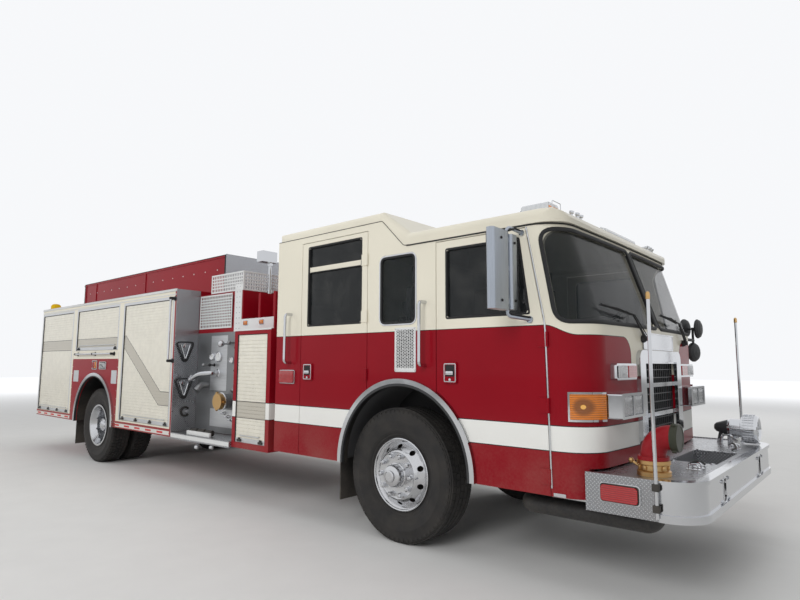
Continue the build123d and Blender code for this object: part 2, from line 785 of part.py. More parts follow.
def cab_roof():
    """Roof shell above the seam, with the drip lip and the hatch."""
    shell = roof_form(0, 0) - roof_form(roof_skin, 5)
    below = prism_y(side_top_profile(), -cab_half_width - 5, cab_half_width + 5)
    shell = shell - below
    plan = plan_face(fx(slope_foot) + 60, fx(cab_front_top) + drip_lip, cab_top_bow, cab_half_width + 8, 190)
    hole = plan_face(fx(slope_foot) + 40, fx(cab_front_top) - 60, cab_top_bow, cab_half_width - 60, 150)
    keep = prism_z(plan, drip_z - 2, raised_top_z + 10)
    front = (shell & block(fx(slope_foot) + 60, fx(front_overhang), -2000, 2000, 0, 4000)) & keep
    rear = shell & block(fx(cab_rear) - 10, fx(slope_foot) + 60, -2000, 2000, 0, 4000)
    lip = prism_z(plan - hole, drip_z, drip_z + 16)
    hatch = prism_z(Pos(fx(800), 0) * RectangleRounded(420, 900, 60), low_top_z - 2, low_top_z + 70)
    return [joined([rear, front, lip, hatch])]


def door_solid(region, windows):
    """A door leaf as thick as the whole wall, with its windows cut."""
    leaf = prism_y(region, wall_y0, wall_y1)
    for window in windows:
        leaf = leaf - prism_y(window, cut_y0, cut_y1)
    return leaf


hinge_radius = 9
hinge_y = cab_half_width + hinge_radius + 1
front_hinge_x = fx(front_door_foot + 2)
rear_hinge_x = fx(rear_door_front + 3)


def door_hinges(x_edge, heights):
    """Hinge knuckles and straps on the outside of the leaf's front edge."""
    knuckles = [rod_z(x_edge, hinge_y, hinge_radius, z, z + 100) for z in heights]
    straps = [block(x_edge - 70, x_edge, cab_half_width, cab_half_width + 8, z, z + 100) for z in heights]
    return straps + knuckles


def door_handle(x0, x1, z0, z1):
    """Raised pull plate of a door."""
    return prism_y(panel(fx(x0), fx(x1), z0, z1, 12), cab_half_width, cab_half_width + 14)


def door_front(side):
    """Front door with the hinge knuckles and the pull handle."""
    leaf = door_solid(front_door_region(0), [front_window_region(0)])
    handle = door_handle(528, 651, 1297, 1456)
    solid = joined([leaf] + door_hinges(front_hinge_x, (660, 1120, 1560)) + [handle])
    return [solid if side > 0 else mirrored(solid)]


rear_bar_low = 2310
rear_bar_high = 2360


def door_rear(side):
    """Rear crew door, cut to the wheel arch at its lower front corner."""
    leaf = door_solid(rear_door_region(0), [box_window_region(rear_window, 0)])
    bar = block(fx(rear_window[0]) - 1, fx(rear_window[1]) + 1, wall_y0 + 8, wall_y1 - 8, rear_bar_low,
                rear_bar_high)
    handle = door_handle(-1127, -998, 1285, 1443)
    solid = joined([leaf, bar] + door_hinges(rear_hinge_x, (1300, 1800, 2300)) + [handle])
    return [solid if side > 0 else mirrored(solid)]


def door_front_glass(side):
    """Pane of the front door."""
    pane = prism_y(front_window_region(0.5), glass_y0, glass_y1)
    return [pane if side > 0 else mirrored(pane)]


def door_rear_glass(side):
    """Two panes of the rear door, above and below its bar."""
    pane = prism_y(box_window_region(rear_window, 0.5), glass_y0, glass_y1)
    bar = block(fx(rear_window[0]) - 1, fx(rear_window[1]) + 1, wall_y0, wall_y1, rear_bar_low - 0.5,
                rear_bar_high + 0.5)
    panes = (pane - bar).solids()
    return [p if side > 0 else mirrored(p) for p in panes]


def mirror_arm(side):
    """Tall flat mirror head and a narrow one, both on a tube frame from the front door."""
    surface = cab_half_width + 6
    x, y = fx(1168), cab_half_width + 137
    head = prism_z(Pos(x, y + 123) * RectangleRounded(60, 216, 26), 1805, 2350)
    narrow = prism_z(Pos(x, y - 62) * RectangleRounded(54, 92, 22), 1815, 2340)
    route = [(fx(1212), surface, 2364), (x, y, 2392), (x, y, 1768), (fx(1262), surface, 1748)]
    tube = bent_tube(route, 12, 30)
    feet = [rod_y(fx(1212), 2364, 20, cab_half_width, cab_half_width + 12),
            rod_y(fx(1262), 1748, 24, cab_half_width, cab_half_width + 12)]
    clips = [block(x - 10, x + 10, y - 20, y + 20, z, z + 34) for z in (1850, 2080, 2280)]
    solid = joined([head, narrow, tube] + feet + clips)
    return [solid if side > 0 else mirrored(solid)]


def cab_floor():
    """Deck plates, risers, steps, arch liners and the engine tunnel."""
    y1 = wall_y0 - seat_gap
    front_end = fx(1600)
    step_x = fx(-690)
    liner_front = fx(arch_x) + arch_liner_radius
    rear_x = fx(cab_rear) + cab_wall + seat_gap
    # Plates on the left half: x0, x1, y0, y1, z0, z1
    plates = [
        (step_x, front_end, tunnel_half_width, y1, floor_z, floor_z + floor_plate),
        (rear_x, step_x + 40, tunnel_half_width, y1, rear_floor_z, rear_floor_z + floor_plate),
        (step_x, step_x + 40, tunnel_half_width, y1, rear_floor_z, floor_z + 10),
        (liner_front, front_end, tunnel_half_width + 220, y1, cab_bottom_z + 12, cab_bottom_z + 32),
        (liner_front, front_end, tunnel_half_width + 200, tunnel_half_width + 220, cab_bottom_z + 12, floor_z + 10),
        (liner_front, front_end, 850, y1, 930, 950),
        (liner_front, front_end, 840, 850, cab_bottom_z + 20, 950),
        (rear_x, fx(-640), 850, y1, cab_bottom_z + 12, cab_bottom_z + 32),
        (rear_x, step_x - 60, 840, 850, cab_bottom_z + 12, rear_floor_z + 10),
        (rear_x, front_end, tunnel_half_width, tunnel_half_width + 20, cab_floor_under_z, tunnel_top_z),
    ]
    parts = [block(*row) for row in plates]
    ring = Pos(fx(arch_x), arch_z) * (Circle(arch_liner_radius) - Circle(arch_liner_radius - 10))
    ring = ring - Pos(fx(arch_x), arch_z - 1000) * Rectangle(3000, 2 * (1000 - (cab_bottom_z + 12 - arch_z)))
    ring = ring & Pos(fx(arch_x), floor_z / 2 + 5) * Rectangle(3000, floor_z + 10)
    parts.append(prism_y(ring, arch_liner_reach, y1))
    half = joined(parts) & cab_form(cab_wall + seat_gap)
    tunnel = block(rear_x, front_end, -tunnel_half_width - 20, tunnel_half_width + 20, tunnel_top_z - 20,
                   tunnel_top_z)
    return [joined([half, mirrored(half), tunnel])]


def seats():
    """Two front seats, two rear-facing and two forward-facing crew seats."""
    front_z = floor_z + floor_plate + seat_gap
    rear_z = rear_floor_z + floor_plate + seat_gap
    # Seats: x ahead of the front axle, y, floor height, base height, facing
    rows = [(620, 800, front_z, 330, 1), (-260, 800, front_z, 200, -1), (-1180, 760, rear_z, 400, 1)]
    solids = []
    for x, y, floor, base, facing in rows:
        seat = Pos(fx(x), y, floor + base + 60) * Box(480, 500, 120)
        back = Pos(fx(x) - facing * 265, y, floor + base + 400) * Box(100, 480, 760)
        pedestal = Pos(fx(x), y, floor + base / 2) * Box(300, 320, base)
        solids += pair(joined([seat, back, pedestal]))
    return solids


def dashboard():
    """Full-width dash with a binnacle and the steering wheel on its column."""
    x0, x1 = fx(1330), fx(1590)
    profile = outline((x0 + 60, 1345), (x0, 1480), (x0 + 20, 1640), (x0 + 120, 1700), (x1, 1700), (x1, 1345))
    shelf = prism_y(profile, -1080, 1080)
    tunnel_notch = block(x0 - 1, x1 + 1, -tunnel_half_width - 25, tunnel_half_width + 25, 1340,
                         tunnel_top_z + seat_gap)
    shelf = shelf - tunnel_notch
    wheel_y, wheel_x, wheel_z = 700, fx(1130), 1760
    tilt = Rot(0, -60, 0)
    ring = Pos(wheel_x, wheel_y, wheel_z) * tilt * Torus(215, 15)
    hub = Pos(wheel_x, wheel_y, wheel_z) * tilt * Cylinder(55, 40)
    spokes = [Pos(wheel_x, wheel_y, wheel_z) * tilt * Rot(0, 0, a) * Pos(110, 0, 0) * Box(220, 26, 12)
              for a in (90, 210, 330)]
    column = bent_tube([(wheel_x, wheel_y, wheel_z), (wheel_x + 120, wheel_y, wheel_z - 69),
                        (x0 + 160, wheel_y, 1600)], 28, 60)
    return [joined([shelf, ring, hub] + spokes + [column])]


# Front end details

front_face_x = fx(cab_front_centre)


def front_plane_x(y):
    """X of the bowed nose at a distance from the middle."""
    chord = cab_half_width
    sag_radius = (chord ** 2 + cab_front_bow ** 2) / (2 * cab_front_bow)
    return front_face_x - (sag_radius - math.sqrt(sag_radius ** 2 - y ** 2))


def grille():
    """Bright surround, dark mesh of bars and two wider bright bars."""
    x_outer = front_face_x + 14
    zc = (grille_low_z + grille_high_z) / 2
    height = grille_high_z - grille_low_z
    outer = Pos(0, zc + 10) * RectangleRounded(2 * (grille_half_width + grille_surround), height + 130, 70)
    inner = Pos(0, zc) * Rectangle(2 * grille_half_width - 20, height - 20)
    ring = prism_x(outer - inner, front_plane_x(grille_half_width + grille_surround) - 4, x_outer + 6)
    ring = ring - (cab_form(0) & block(fx(1500), x_outer + 50, -600, 600, 700, 1700))
    mesh = Pos(0, zc) * Rectangle(2 * grille_half_width - 1, height - 1)
    cells = GridLocations(grille_cell_width, grille_cell_height, grille_columns, grille_rows)
    cell = Rectangle(grille_cell_width - 8, grille_cell_height - 8)
    mesh = mesh - [Pos(0, zc) * place * cell for place in cells]
    bars = [prism_x(mesh, front_face_x - 36, front_face_x - 26)]
    for z in (1288, 1068):
        bars.append(block(front_face_x - 30, front_face_x - 4, -grille_half_width + 0.5,
                          grille_half_width - 0.5, z - 16, z + 16))
    for z in (grille_low_z + 12, grille_high_z - 12):
        bars.append(block(front_face_x - 36, front_face_x + 8, -grille_half_width + 0.5,
                          grille_half_width - 0.5, z - 11.5, z + 11.5))
    return [joined([ring] + bars)]


def corner_band(thickness, x0, x1, y0, z0, z1):
    """Piece of a band that follows the nose round its corner."""
    face = plan_face(fx(1300), fx(cab_front_centre) + thickness, cab_front_bow, cab_half_width + thickness,
                     cab_corner_radius + thickness)
    inner = plan_face(fx(1200), fx(cab_front_centre), cab_front_bow, cab_half_width, cab_corner_radius)
    return prism_z(face - inner, z0, z1) & block(fx(x0), fx(x1), y0, cab_half_width + 60, z0, z1)


corner_lamp = (1537, 1740, 1044, 1088, 1250)


def lamp_housings():
    """Bright housings: twin head lamps, corner lamp bezels and upper warning lamps."""
    head = prism_x(panel(lamp_inner_y + seat_gap, lamp_outer_y - seat_gap, lamp_low_z + seat_gap,
                         lamp_high_z - seat_gap, 12), fx(lamp_back), fx(lamp_face))
    for y0, y1 in head_lamps:
        head = head - prism_x(panel(y0, y1, lamp_low_z + 18, lamp_high_z - 18, 14), fx(lens_back), fx(1900))
    warning = prism_x(panel(555, 940, warning_low_z, warning_high_z, 16), fx(1650), fx(1742))
    face = plan_face(fx(1300), fx(cab_front_centre), cab_front_bow, cab_half_width, cab_corner_radius)
    warning = warning - prism_z(face, 1300, 1500)
    for y0, y1 in warning_lamps:
        pocket = panel(y0, y1, warning_low_z + 14, warning_high_z - 14, 10)
        warning = warning - prism_x(pocket, fx(1726), fx(1800))
    x0, x1, y0, z0, z1 = corner_lamp
    bezel = corner_band(18, x0 - 14, x1, y0, z0 - 14, z1 + 14) - block(
        fx(x0) - seat_gap, fx(x1), y0 + 10, cab_half_width + 60, z0 - seat_gap, z1 + seat_gap)
    return pair(head) + pair(warning) + pair(bezel)


def lamp_lens(y0, y1, z0, z1, x0, x1, radius):
    """Rectangular lens with round corners, facing forward."""
    return prism_x(panel(y0 + seat_gap, y1 - seat_gap, z0 + seat_gap, z1 - seat_gap, radius), fx(x0), fx(x1))


def clear_lenses():
    """Head lamp lenses and the clear halves of the warning lamps."""
    solids = []
    for y0, y1 in head_lamps:
        solids += pair(lamp_lens(y0, y1, lamp_low_z + 18, lamp_high_z - 18, lens_back, lens_face, 14))
    y0, y1 = warning_lamps[1]
    return solids + pair(lamp_lens(y0, y1, warning_low_z + 14, warning_high_z - 14, 1726, 1750, 10))


def amber_lenses():
    """Corner lamps round the nose."""
    x0, x1, y0, z0, z1 = corner_lamp
    return pair(corner_band(24, x0, x1, y0 + 10 + seat_gap, z0, z1))


def red_lenses():
    """Side marker lamps, red halves of the warning lamps and tail lamps."""
    y = cab_half_width
    side = prism_y(panel(fx(-1474), fx(-1261), 1255, 1372, 20), y, y + 26)
    marker = panel(fx(1725), fx(1945), 620, 716, 20)
    bumper_marker = prism_y(marker, bumper_half_width, bumper_half_width + 24)
    x_rear = rx(-body_rear)
    tails = [prism_x(Pos(1000, z) * RectangleRounded(170, 150, 20), x_rear - tail_lamp_proud, x_rear)
             for z in (1000, 1180, 1360)]
    y0, y1 = warning_lamps[0]
    warning = lamp_lens(y0, y1, warning_low_z + 14, warning_high_z - 14, 1726, 1750, 10)
    solids = pair(side) + pair(bumper_marker) + pair(warning)
    for tail in tails:
        solids += pair(tail)
    return solids


def light_bar():
    """Flasher pods on both roof edges and the low lamp strip over the windscreen."""
    z0 = low_top_z + seat_gap
    slope_z = roof_brow[1][1] + seat_gap
    pod = outline((fx(1140), z0), (fx(roof_brow[0][0]), z0), (fx(roof_brow[1][0]), slope_z), (fx(1420), 2582),
                  (fx(1364), 2594), (fx(1150), 2594), (fx(1140), 2584))
    (x0, high), (x1, low) = roof_brow[1:3]
    fall = (high - low) / (x1 - x0)
    rear_z, front_z = high - 6 * fall + seat_gap, low + 2 * fall + seat_gap
    strip = outline((fx(x0) + 6, rear_z), (fx(x0) + 6, rear_z + 20), (fx(x1) - 8, front_z + 26),
                    (fx(x1) - 2, front_z))
    return pair(prism_y(pod, 945, 1100)) + [prism_y(strip, -330, 330)]


def corner_mirrors():
    """Three round convex mirrors on a bracket at the driver's front corner."""
    # Shell centres: x, y, z, then the way each face looks in plan, in degrees from forward
    heads = ((1612, corner_post_y, 1798, 169), (1728, corner_post_y, 1790, 180), (1680, corner_post_y, 1566, 162))
    shell = outline((0, -25), (84, -25), (92, -19), (92, -9), (80, 9), (52, 22), (0, 27))
    solids = [rod_z(fx(corner_post_x), corner_post_y, 11, 1640, 1804),
              rod_y(fx(corner_post_x), 1680, 14, 1000, corner_post_y),
              rod_x(corner_post_y, 1790, 9, fx(1630), fx(1712))]
    for x, y, z, turn in heads:
        solids.append(Pos(fx(x), y, z) * Rot(0, 0, turn + 90) * revolve(Plane.XY * shell, axis=Axis.Y))
    face = plan_face(fx(1300), fx(cab_front_centre) + seat_gap, cab_front_bow, cab_half_width + seat_gap,
                     cab_corner_radius)
    return [joined(solids) - prism_z(face, 1500, 1712)]


def bumper_plan(inset):
    """Plan of the bumper: straight face with round corners, open at the rear."""
    half = bumper_half_width - inset
    front = fx(front_overhang) - inset
    rear = fx(bumper_side_rear)
    face = outline((rear, -half), (rear, half), (front, half), (front, -half))
    return fillet(face.vertices().sort_by(Axis.X)[-2:], bumper_corner - inset)


def bumper():
    """Bright channel bumper: skin, rolled upper and lower lips, two oval tow openings."""
    proud = bumper_lip_proud
    skin = prism_z(bumper_plan(proud) - bumper_plan(proud + bumper_skin), bumper_bottom_z, bumper_top_z)
    head = prism_z(bumper_plan(0) - bumper_plan(proud + 1), bumper_top_z - bumper_head_lip, bumper_top_z)
    foot = prism_z(bumper_plan(0) - bumper_plan(proud + 1), bumper_bottom_z,
                   bumper_bottom_z + bumper_foot_lip)
    flange = bumper_plan(proud) - bumper_plan(bumper_lip)
    top = prism_z(flange, bumper_top_z - bumper_skin, bumper_top_z)
    bottom = prism_z(flange, bumper_bottom_z, bumper_bottom_z + bumper_skin)
    solid = joined([skin, head, foot, top, bottom])
    zc = (bumper_bottom_z + bumper_top_z) / 2
    for side in (-1, 1):
        slot = prism_x(Pos(side * 600, zc) * Rot(0, 0, 90) * SlotOverall(140, 66), fx(front_overhang) - 40,
                       fx(front_overhang) + 5)
        solid = solid - slot
    return [solid]


def bumper_deck():
    """Tread-plate deck behind the bumper with a sunk hose well and side end plates."""
    top = deck_top_z
    half = bumper_half_width
    edge = bumper_lip_proud + bumper_skin + seat_gap
    inner = bumper_plan(edge)
    plan = outline((fx(deck_rear) + 5, -half + edge), (fx(deck_rear) + 5, half - edge),
                   (fx(bumper_side_rear), half - edge), (fx(bumper_side_rear), -half + edge))
    deck = prism_z(plan + inner, top - deck_plate, top)
    well_x1 = fx(front_overhang) - 110
    well_x0 = well_x1 - well_length
    well = block(well_x0, well_x1, -well_half_width, well_half_width, top - well_depth, top + 5)
    shell = block(well_x0 - 4, well_x1 + 4, -well_half_width - 4, well_half_width + 4, top - well_depth - 4,
                  top - 1)
    side = block(fx(deck_rear), fx(bumper_side_rear) - seat_gap, half - edge, half, bumper_bottom_z + 2,
                 bumper_top_z)
    return [joined([deck, shell, side, mirrored(side)]) - well]


def brass_fittings():
    """Swivel base under the suction elbow and the round caps of the pump inlets."""
    z0 = bumper_top_z - bumper_skin
    base = revolve(Plane.XZ * outline((0, 0), (98, 0), (98, 26), (84, 34), (84, 64), (96, 72), (96, 92),
                                      (0, 92)), axis=Axis.Z)
    base = Pos(fx(suction_x), suction_y, z0) * base
    caps = []
    for side in (-1, 1):
        cap = rod_y(rx(3010), 1000, 92, pump_half_width + 80, pump_half_width + 150)
        lugs = joined([Pos(rx(3010), pump_half_width + 115, 1000) * Rot(0, a, 0) * Pos(100, 0, 0)
                       * Box(40, 26, 26) for a in (0, 120, 240)])
        caps.append(cap + lugs if side > 0 else mirrored(cap + lugs))
    return [base] + caps


def suction_elbow():
    """Red elbow from the swivel base to a forward mouth with its coupling ring."""
    z0 = bumper_top_z - bumper_skin + 92 + seat_gap
    x0, y0 = fx(suction_x), suction_y
    centre_z = z0 + elbow_bend + 32
    pipe = bent_tube([(x0, y0, z0), (x0, y0, centre_z), (x0 + elbow_bend + 14, y0, centre_z)], elbow_radius,
                     elbow_bend)
    foot = rod_z(x0, y0, 92, z0, z0 + 24)
    ring = rod_x(y0, centre_z, elbow_ring_radius, x0 + elbow_bend + 6, x0 + elbow_bend + 48)
    return [joined([pipe, foot, ring])]


def siren():
    """Round siren: small rear dome, round body and a wide ribbed bell, on a foot."""
    z_base = bumper_top_z - bumper_skin
    axis_z = z_base + 131
    y = 1000
    section = outline((0, 1876), (22, 1880), (38, 1896), (56, 1950), (72, 2000), (78, 2010), (78, 2090),
                      (104, 2098), (104, 2112), (118, 2112), (118, 2200), (110, 2218), (92, 2224), (66, 2206),
                      (0, 2206))
    horn = revolve(Plane.XY * section, axis=Axis.Y)
    horn = Pos(front_axle_x, y, axis_z) * Rot(0, 0, -90) * horn
    foot = block(fx(1985), fx(2075), y - 40, y + 40, z_base, axis_z - 60)
    stay = prism_y(outline((fx(1896), z_base), (fx(1930), z_base), (fx(1946), axis_z), (fx(1926), axis_z)),
                   y - 22, y + 22)
    return [joined([horn, foot, stay])]


def rails_and_rods():
    """Grab rails at the cab doors and body, and the corner marker rods."""
    solids = []
    y = cab_half_width
    for x, z0, z1 in ((-1330, 1450, 1920), (345, 1430, 1930)):
        rail = bent_tube([(fx(x), y, z0), (fx(x), y + 80, z0), (fx(x), y + 80, z1), (fx(x), y, z1)], 14, 30)
        solids += pair(rail)
    body_rail = bent_tube([(rx(-700), body_half_width, 1572), (rx(-700), body_half_width + 45, 1572),
                           (rx(600), body_half_width + 45, 1572), (rx(600), body_half_width, 1572)], 13, 25)
    solids += pair(body_rail)
    tall = bent_tube([(rx(2265), body_half_width, 1470), (rx(2265), body_half_width + 60, 1470),
                      (rx(2265), body_half_width + 60, 2240), (rx(2265), body_half_width, 2240)], 13, 25)
    solids += pair(tall)
    rod_y_place = bumper_half_width + 14
    rod = rod_z(fx(2050), rod_y_place, 11, 560, 1850)
    clamps = [block(fx(2038), fx(2062), bumper_half_width, rod_y_place, z, z + 30) for z in (600, 720)]
    solids += pair(joined([rod] + clamps))
    return solids + mast_socket()


# Arches, flaps and steps


def half_ring(x, z, inner, outer, y0, y1, bottom):
    """Upright arch ring cut off at its bottom."""
    ring = Pos(x, z) * (Circle(outer) - Circle(inner))
    below = Pos(x, bottom - 1000) * Rectangle(4000, 2000)
    return prism_y(ring - below, y0, y1)


def wheel_arch_trim():
    """Polished rings round the four wheel arches."""
    front = half_ring(fx(arch_x), arch_z, arch_inner_radius - 2, arch_inner_radius + arch_band - 2,
                      cab_half_width + seat_gap, cab_half_width + 24, cab_bottom_z)
    rear = half_ring(rear_axle_x, body_arch_z, body_arch_radius - 2, body_arch_radius + fenderette_band,
                     body_half_width + seat_gap, body_half_width + fenderette_proud, body_bottom_z)
    return pair(front) + pair(rear)


def mud_flaps():
    """Hanging flaps behind all wheels, each with its hanger bar."""
    rows = [(fx(-655), 780, wall_y0 - 5, 250, cab_bottom_z + 12),
            (rx(-735), 560, 1200, 200, body_bottom_z)]
    solids = []
    for x, y0, y1, z0, z1 in rows:
        solids += pair(block(x - 5, x + 5, y0, y1, z0, z1))
    return solids


# Body

# Compartment doors, forward of the rear axle: rear edge, front edge, bottom, top
compartment_doors = [
    (-2375, -960, 650, 2280),
    (-830, 710, 1625, 2280),
    (836, 2250, 665, 2270),
]
door_frame = 36


def body_sides():
    """Side compartment bodies with door recesses and the wheel well."""
    x0, x1 = rx(-body_rear), rx(body_front)
    side = block(x0, x1, body_inner_y, body_half_width, body_bottom_z, body_top_z)
    side = side - rod_y(rear_axle_x, body_arch_z, body_arch_radius, body_inner_y - 5, body_half_width + 5)
    for rear, front, low, high in compartment_doors:
        side = side - block(rx(rear), rx(front), body_half_width - door_recess, body_half_width + 5, low, high)
    recess = block(rx(-900.3), rx(750.3), body_half_width - 12.3, body_half_width + 5, body_bottom_z - 5, 1500.3)
    return pair(side - recess)


def fender_panel():
    """Red panel round the rear wheel, set flush in the body side."""
    x0, x1 = rx(-900), rx(750)
    sheet = block(x0, x1, body_half_width - 12, body_half_width, body_bottom_z, 1500)
    return sheet - rod_y(rear_axle_x, body_arch_z, body_arch_radius, 0, body_half_width + 5)


def locker_frame():
    """Red front locker beside the pump panel, with its door recess."""
    x0, x1 = rx(locker_rear), rx(locker_front)
    box = block(x0, x1, pump_half_width, cab_half_width, body_bottom_z, locker_top_z)
    return box - block(x0 + 55, x1 - 60, cab_half_width - door_recess, cab_half_width + 5, body_bottom_z + 60,
                       locker_top_z - 50)


def red_panels():
    """Fender panels and front lockers."""
    return pair(fender_panel()) + pair(locker_frame())


def shutter(x0, x1, z0, z1, outer_y):
    """Roll-up door: slats with a shadow line between each, and a bottom bar."""
    face = block(x0, x1, outer_y - 22, outer_y, z0, z1)
    count = int((z1 - z0) / shutter_slat_pitch)
    for i in range(1, count):
        z = z0 + i * shutter_slat_pitch
        face = face - block(x0 - 1, x1 + 1, outer_y - 5, outer_y + 1, z - 3, z + 3)
    return face


def shutters():
    """All roll-up doors, each inside its frame."""
    solids = []
    for rear, front, low, high in compartment_doors:
        solids += pair(shutter(rx(rear) + door_frame, rx(front) - door_frame, low + 4, high - door_frame,
                               body_half_width - 12))
    solids += pair(shutter(rx(locker_rear) + 55 + seat_gap, rx(locker_front) - 60 - seat_gap,
                           body_bottom_z + 60 + seat_gap, locker_top_z - 50 - seat_gap, cab_half_width - 12))
    return solids


def shutter_frames(x0, x1, z0, z1, outer_y):
    """Bright frame round a roll-up door, open at the bottom."""
    ring = block(x0 + 0.3, x1 - 0.3, outer_y - door_recess + 0.3, outer_y, z0 + 4, z1 - 0.3)
    return ring - block(x0 + door_frame - 0.5, x1 - door_frame + 0.5, outer_y - door_recess, outer_y + 1,
                        z0, z1 - door_frame + 0.5)


def door_frames():
    """Frames of all roll-up doors."""
    solids = []
    for rear, front, low, high in compartment_doors:
        solids += pair(shutter_frames(rx(rear), rx(front), low, high, body_half_width))
    return solids


def body_centre():
    """Tank block between the side bodies, with the hose bed floor on top."""
    x0 = rx(-body_rear + rear_recess)
    tank = block(x0, rx(body_front), -body_inner_y, body_inner_y, tank_bottom_z, tank_top_z)
    runner = block(x0, rx(body_front), rail_outer_y - rail_flange, rail_outer_y, rail_top_z + seat_gap,
                   tank_bottom_z)
    return [joined([tank] + pair(runner))]


def hose_bed():
    """Red side walls of the hose bed with upright posts and a top fold."""
    x0, x1 = rx(-body_rear + rear_recess), rx(hose_bed_front)
    y1 = hose_bed_half_width
    y0 = y1 - hose_bed_wall
    wall = block(x0, x1, y0, y1, body_top_z, hose_bed_top_z)
    fold = block(x0, x1, y0 - 20, y1 + 8, hose_bed_top_z - 30, hose_bed_top_z)
    posts = [block(rx(x) - 22, rx(x) + 22, y1, y1 + 10, body_top_z, hose_bed_top_z - 10)
             for x in (-1940, -1500, 330)]
    return pair(joined([wall, fold] + posts))


def diamond_plates():
    """Tread-plate front wall of the hose bed, end plates of the body, running boards and rear step."""
    x = rx(hose_bed_front)
    wall = block(x, x + 8, -hose_bed_half_width - 8, hose_bed_half_width + 8, pump_top_z + 0.3,
                 hose_bed_top_z + 10)
    end = block(rx(body_front), rx(body_front) + 8, pump_half_width + 0.5, body_half_width, body_bottom_z + 60,
                body_top_z)
    board = block(rx(body_front) + seat_gap, rx(locker_rear) - seat_gap, pump_half_width, body_half_width,
                  running_board_top_z - running_board_depth, running_board_top_z)
    step = block(rx(-body_rear), rx(-body_rear + rear_recess), -body_inner_y + seat_gap,
                 body_inner_y - seat_gap, 540, 600)
    eye_x = rx(-body_rear + frame_rear_gap)
    slots = pair(block(eye_x - 51, eye_x + 61, tow_eye_y[0] - seat_gap, tow_eye_y[1] + seat_gap, 500, 610))
    return [wall, step - slots[0] - slots[1]] + pair(end) + pair(board)


def pump_house():
    """Pump house with a screened hose opening each side and the cross-lay trays in front."""
    rear, front = rx(body_front), rx(pump_house_front)
    floor = pump_floor_z
    tall = block(rear, front, -pump_half_width, pump_half_width, floor, pump_top_z)
    low = block(front, rx(crosslay_front), -pump_half_width, pump_half_width, floor, crosslay_floor_z)
    screened = block(rear + 40, front - 200, pump_half_width - 250, pump_half_width + 5, 1880, 2260)
    solid = tall + low - screened - mirrored(screened)
    for x in (pump_house_front + 300, crosslay_front - crosslay_wall):
        solid = solid + block(rx(x), rx(x) + crosslay_wall, -pump_half_width, pump_half_width,
                              crosslay_floor_z, crosslay_top_z)
    skirt = [block(rear, rx(crosslay_front), side * (pump_half_width - 40) - 40,
                   side * (pump_half_width - 40) + 40, pump_bottom_z, floor) for side in (-1, 1)]
    runner = block(rear, rx(crosslay_front), rail_outer_y - rail_flange, rail_outer_y, rail_top_z + seat_gap,
                   floor)
    skirt += pair(runner)
    mast_bore = rod_z(rx(mast_x), mast_y, mast_tube_radius + seat_gap, mast_foot_z - 1, crosslay_floor_z + 5)
    return [joined([solid] + skirt) - mast_bore]


pump_panel_top = 1815
pump_panel_y = pump_half_width + seat_gap
pump_panel_thick = 6


def pump_panels():
    """Steel pump panels with the inlet neck, discharges, gauges and valve levers."""
    x0, x1 = rx(body_front + 12), rx(locker_rear - 4)
    y0, y1 = pump_panel_y, pump_panel_y + pump_panel_thick
    sheet = block(x0, x1, y0, y1, running_board_top_z + 6, pump_panel_top)
    neck = rod_y(rx(3010), 1000, 84, y1, pump_half_width + 80)
    discharge = bent_tube([(rx(2560), y1, 1180), (rx(2560), y1 + 90, 1180), (rx(2560), y1 + 150, 1110)], 38, 40)
    second = bent_tube([(rx(3340), y1, 1190), (rx(3340), y1 + 90, 1190), (rx(3340), y1 + 150, 1120)], 34, 40)
    levers = [joined([rod_y(rx(x), z, 10, y1, y1 + 90), Pos(rx(x), y1 + 100, z) * Sphere(24)])
              for x, z in ((3150, 1680), (2620, 1420), (3300, 1420))]
    gauges = [rod_y(rx(x), z, r, y1, y1 + 30) for x, z, r in ((2560, 1640, 60), (2780, 1640, 78))]
    right = joined([sheet, neck, discharge, second] + levers)
    left = joined([sheet, neck, discharge, second] + levers + gauges)
    return [left, mirrored(right)]


def guard_sheet(width, height):
    """Square-hole guard in its own plane, with a solid border."""
    sheet = Rectangle(width, height)
    columns = int((width - 40) / guard_pitch)
    rows = int((height - 40) / guard_pitch)
    with_holes = sheet - GridLocations(guard_pitch, guard_pitch, columns, rows) * Rectangle(guard_hole, guard_hole)
    return with_holes


def perforated_guards():
    """Square-hole guards: the fence round the pump house top and the side screens."""
    rear, front = rx(hose_bed_front + 10), rx(pump_house_front)
    z0, z1 = pump_top_z + seat_gap, fence_top_z
    height = z1 - z0
    length = front - rear
    y = pump_half_width
    side = prism_y(Pos((rear + front) / 2, (z0 + z1) / 2) * guard_sheet(length, height), y - guard_plate, y)
    across = prism_x(Pos(0, (z0 + z1) / 2) * guard_sheet(2 * y, height), front - guard_plate, front)
    fence = joined([side, mirrored(side), across])
    sx0, sx1 = rx(body_front + 22), rx(body_front + 735)
    screen = prism_y(Pos((sx0 + sx1) / 2, 2075) * guard_sheet(sx1 - sx0, 420), y + seat_gap,
                     y + seat_gap + guard_plate)
    return [fence] + pair(screen)


def mast_socket():
    """Outer tube of the mast, standing in the pump house, with brackets to the tray wall."""
    x = rx(mast_x)
    tube = rod_z(x, mast_y, mast_tube_radius, mast_foot_z, mast_tube_top)
    bore = rod_z(x, mast_y, mast_radius, mast_foot_z + 12, mast_tube_top + 1)
    brackets = [block(rx(pump_house_front), x - mast_radius - 2, mast_y - 15, mast_y + 15, z, z + 40)
                for z in (2080, 2220)]
    return [joined([tube] + brackets) - bore]


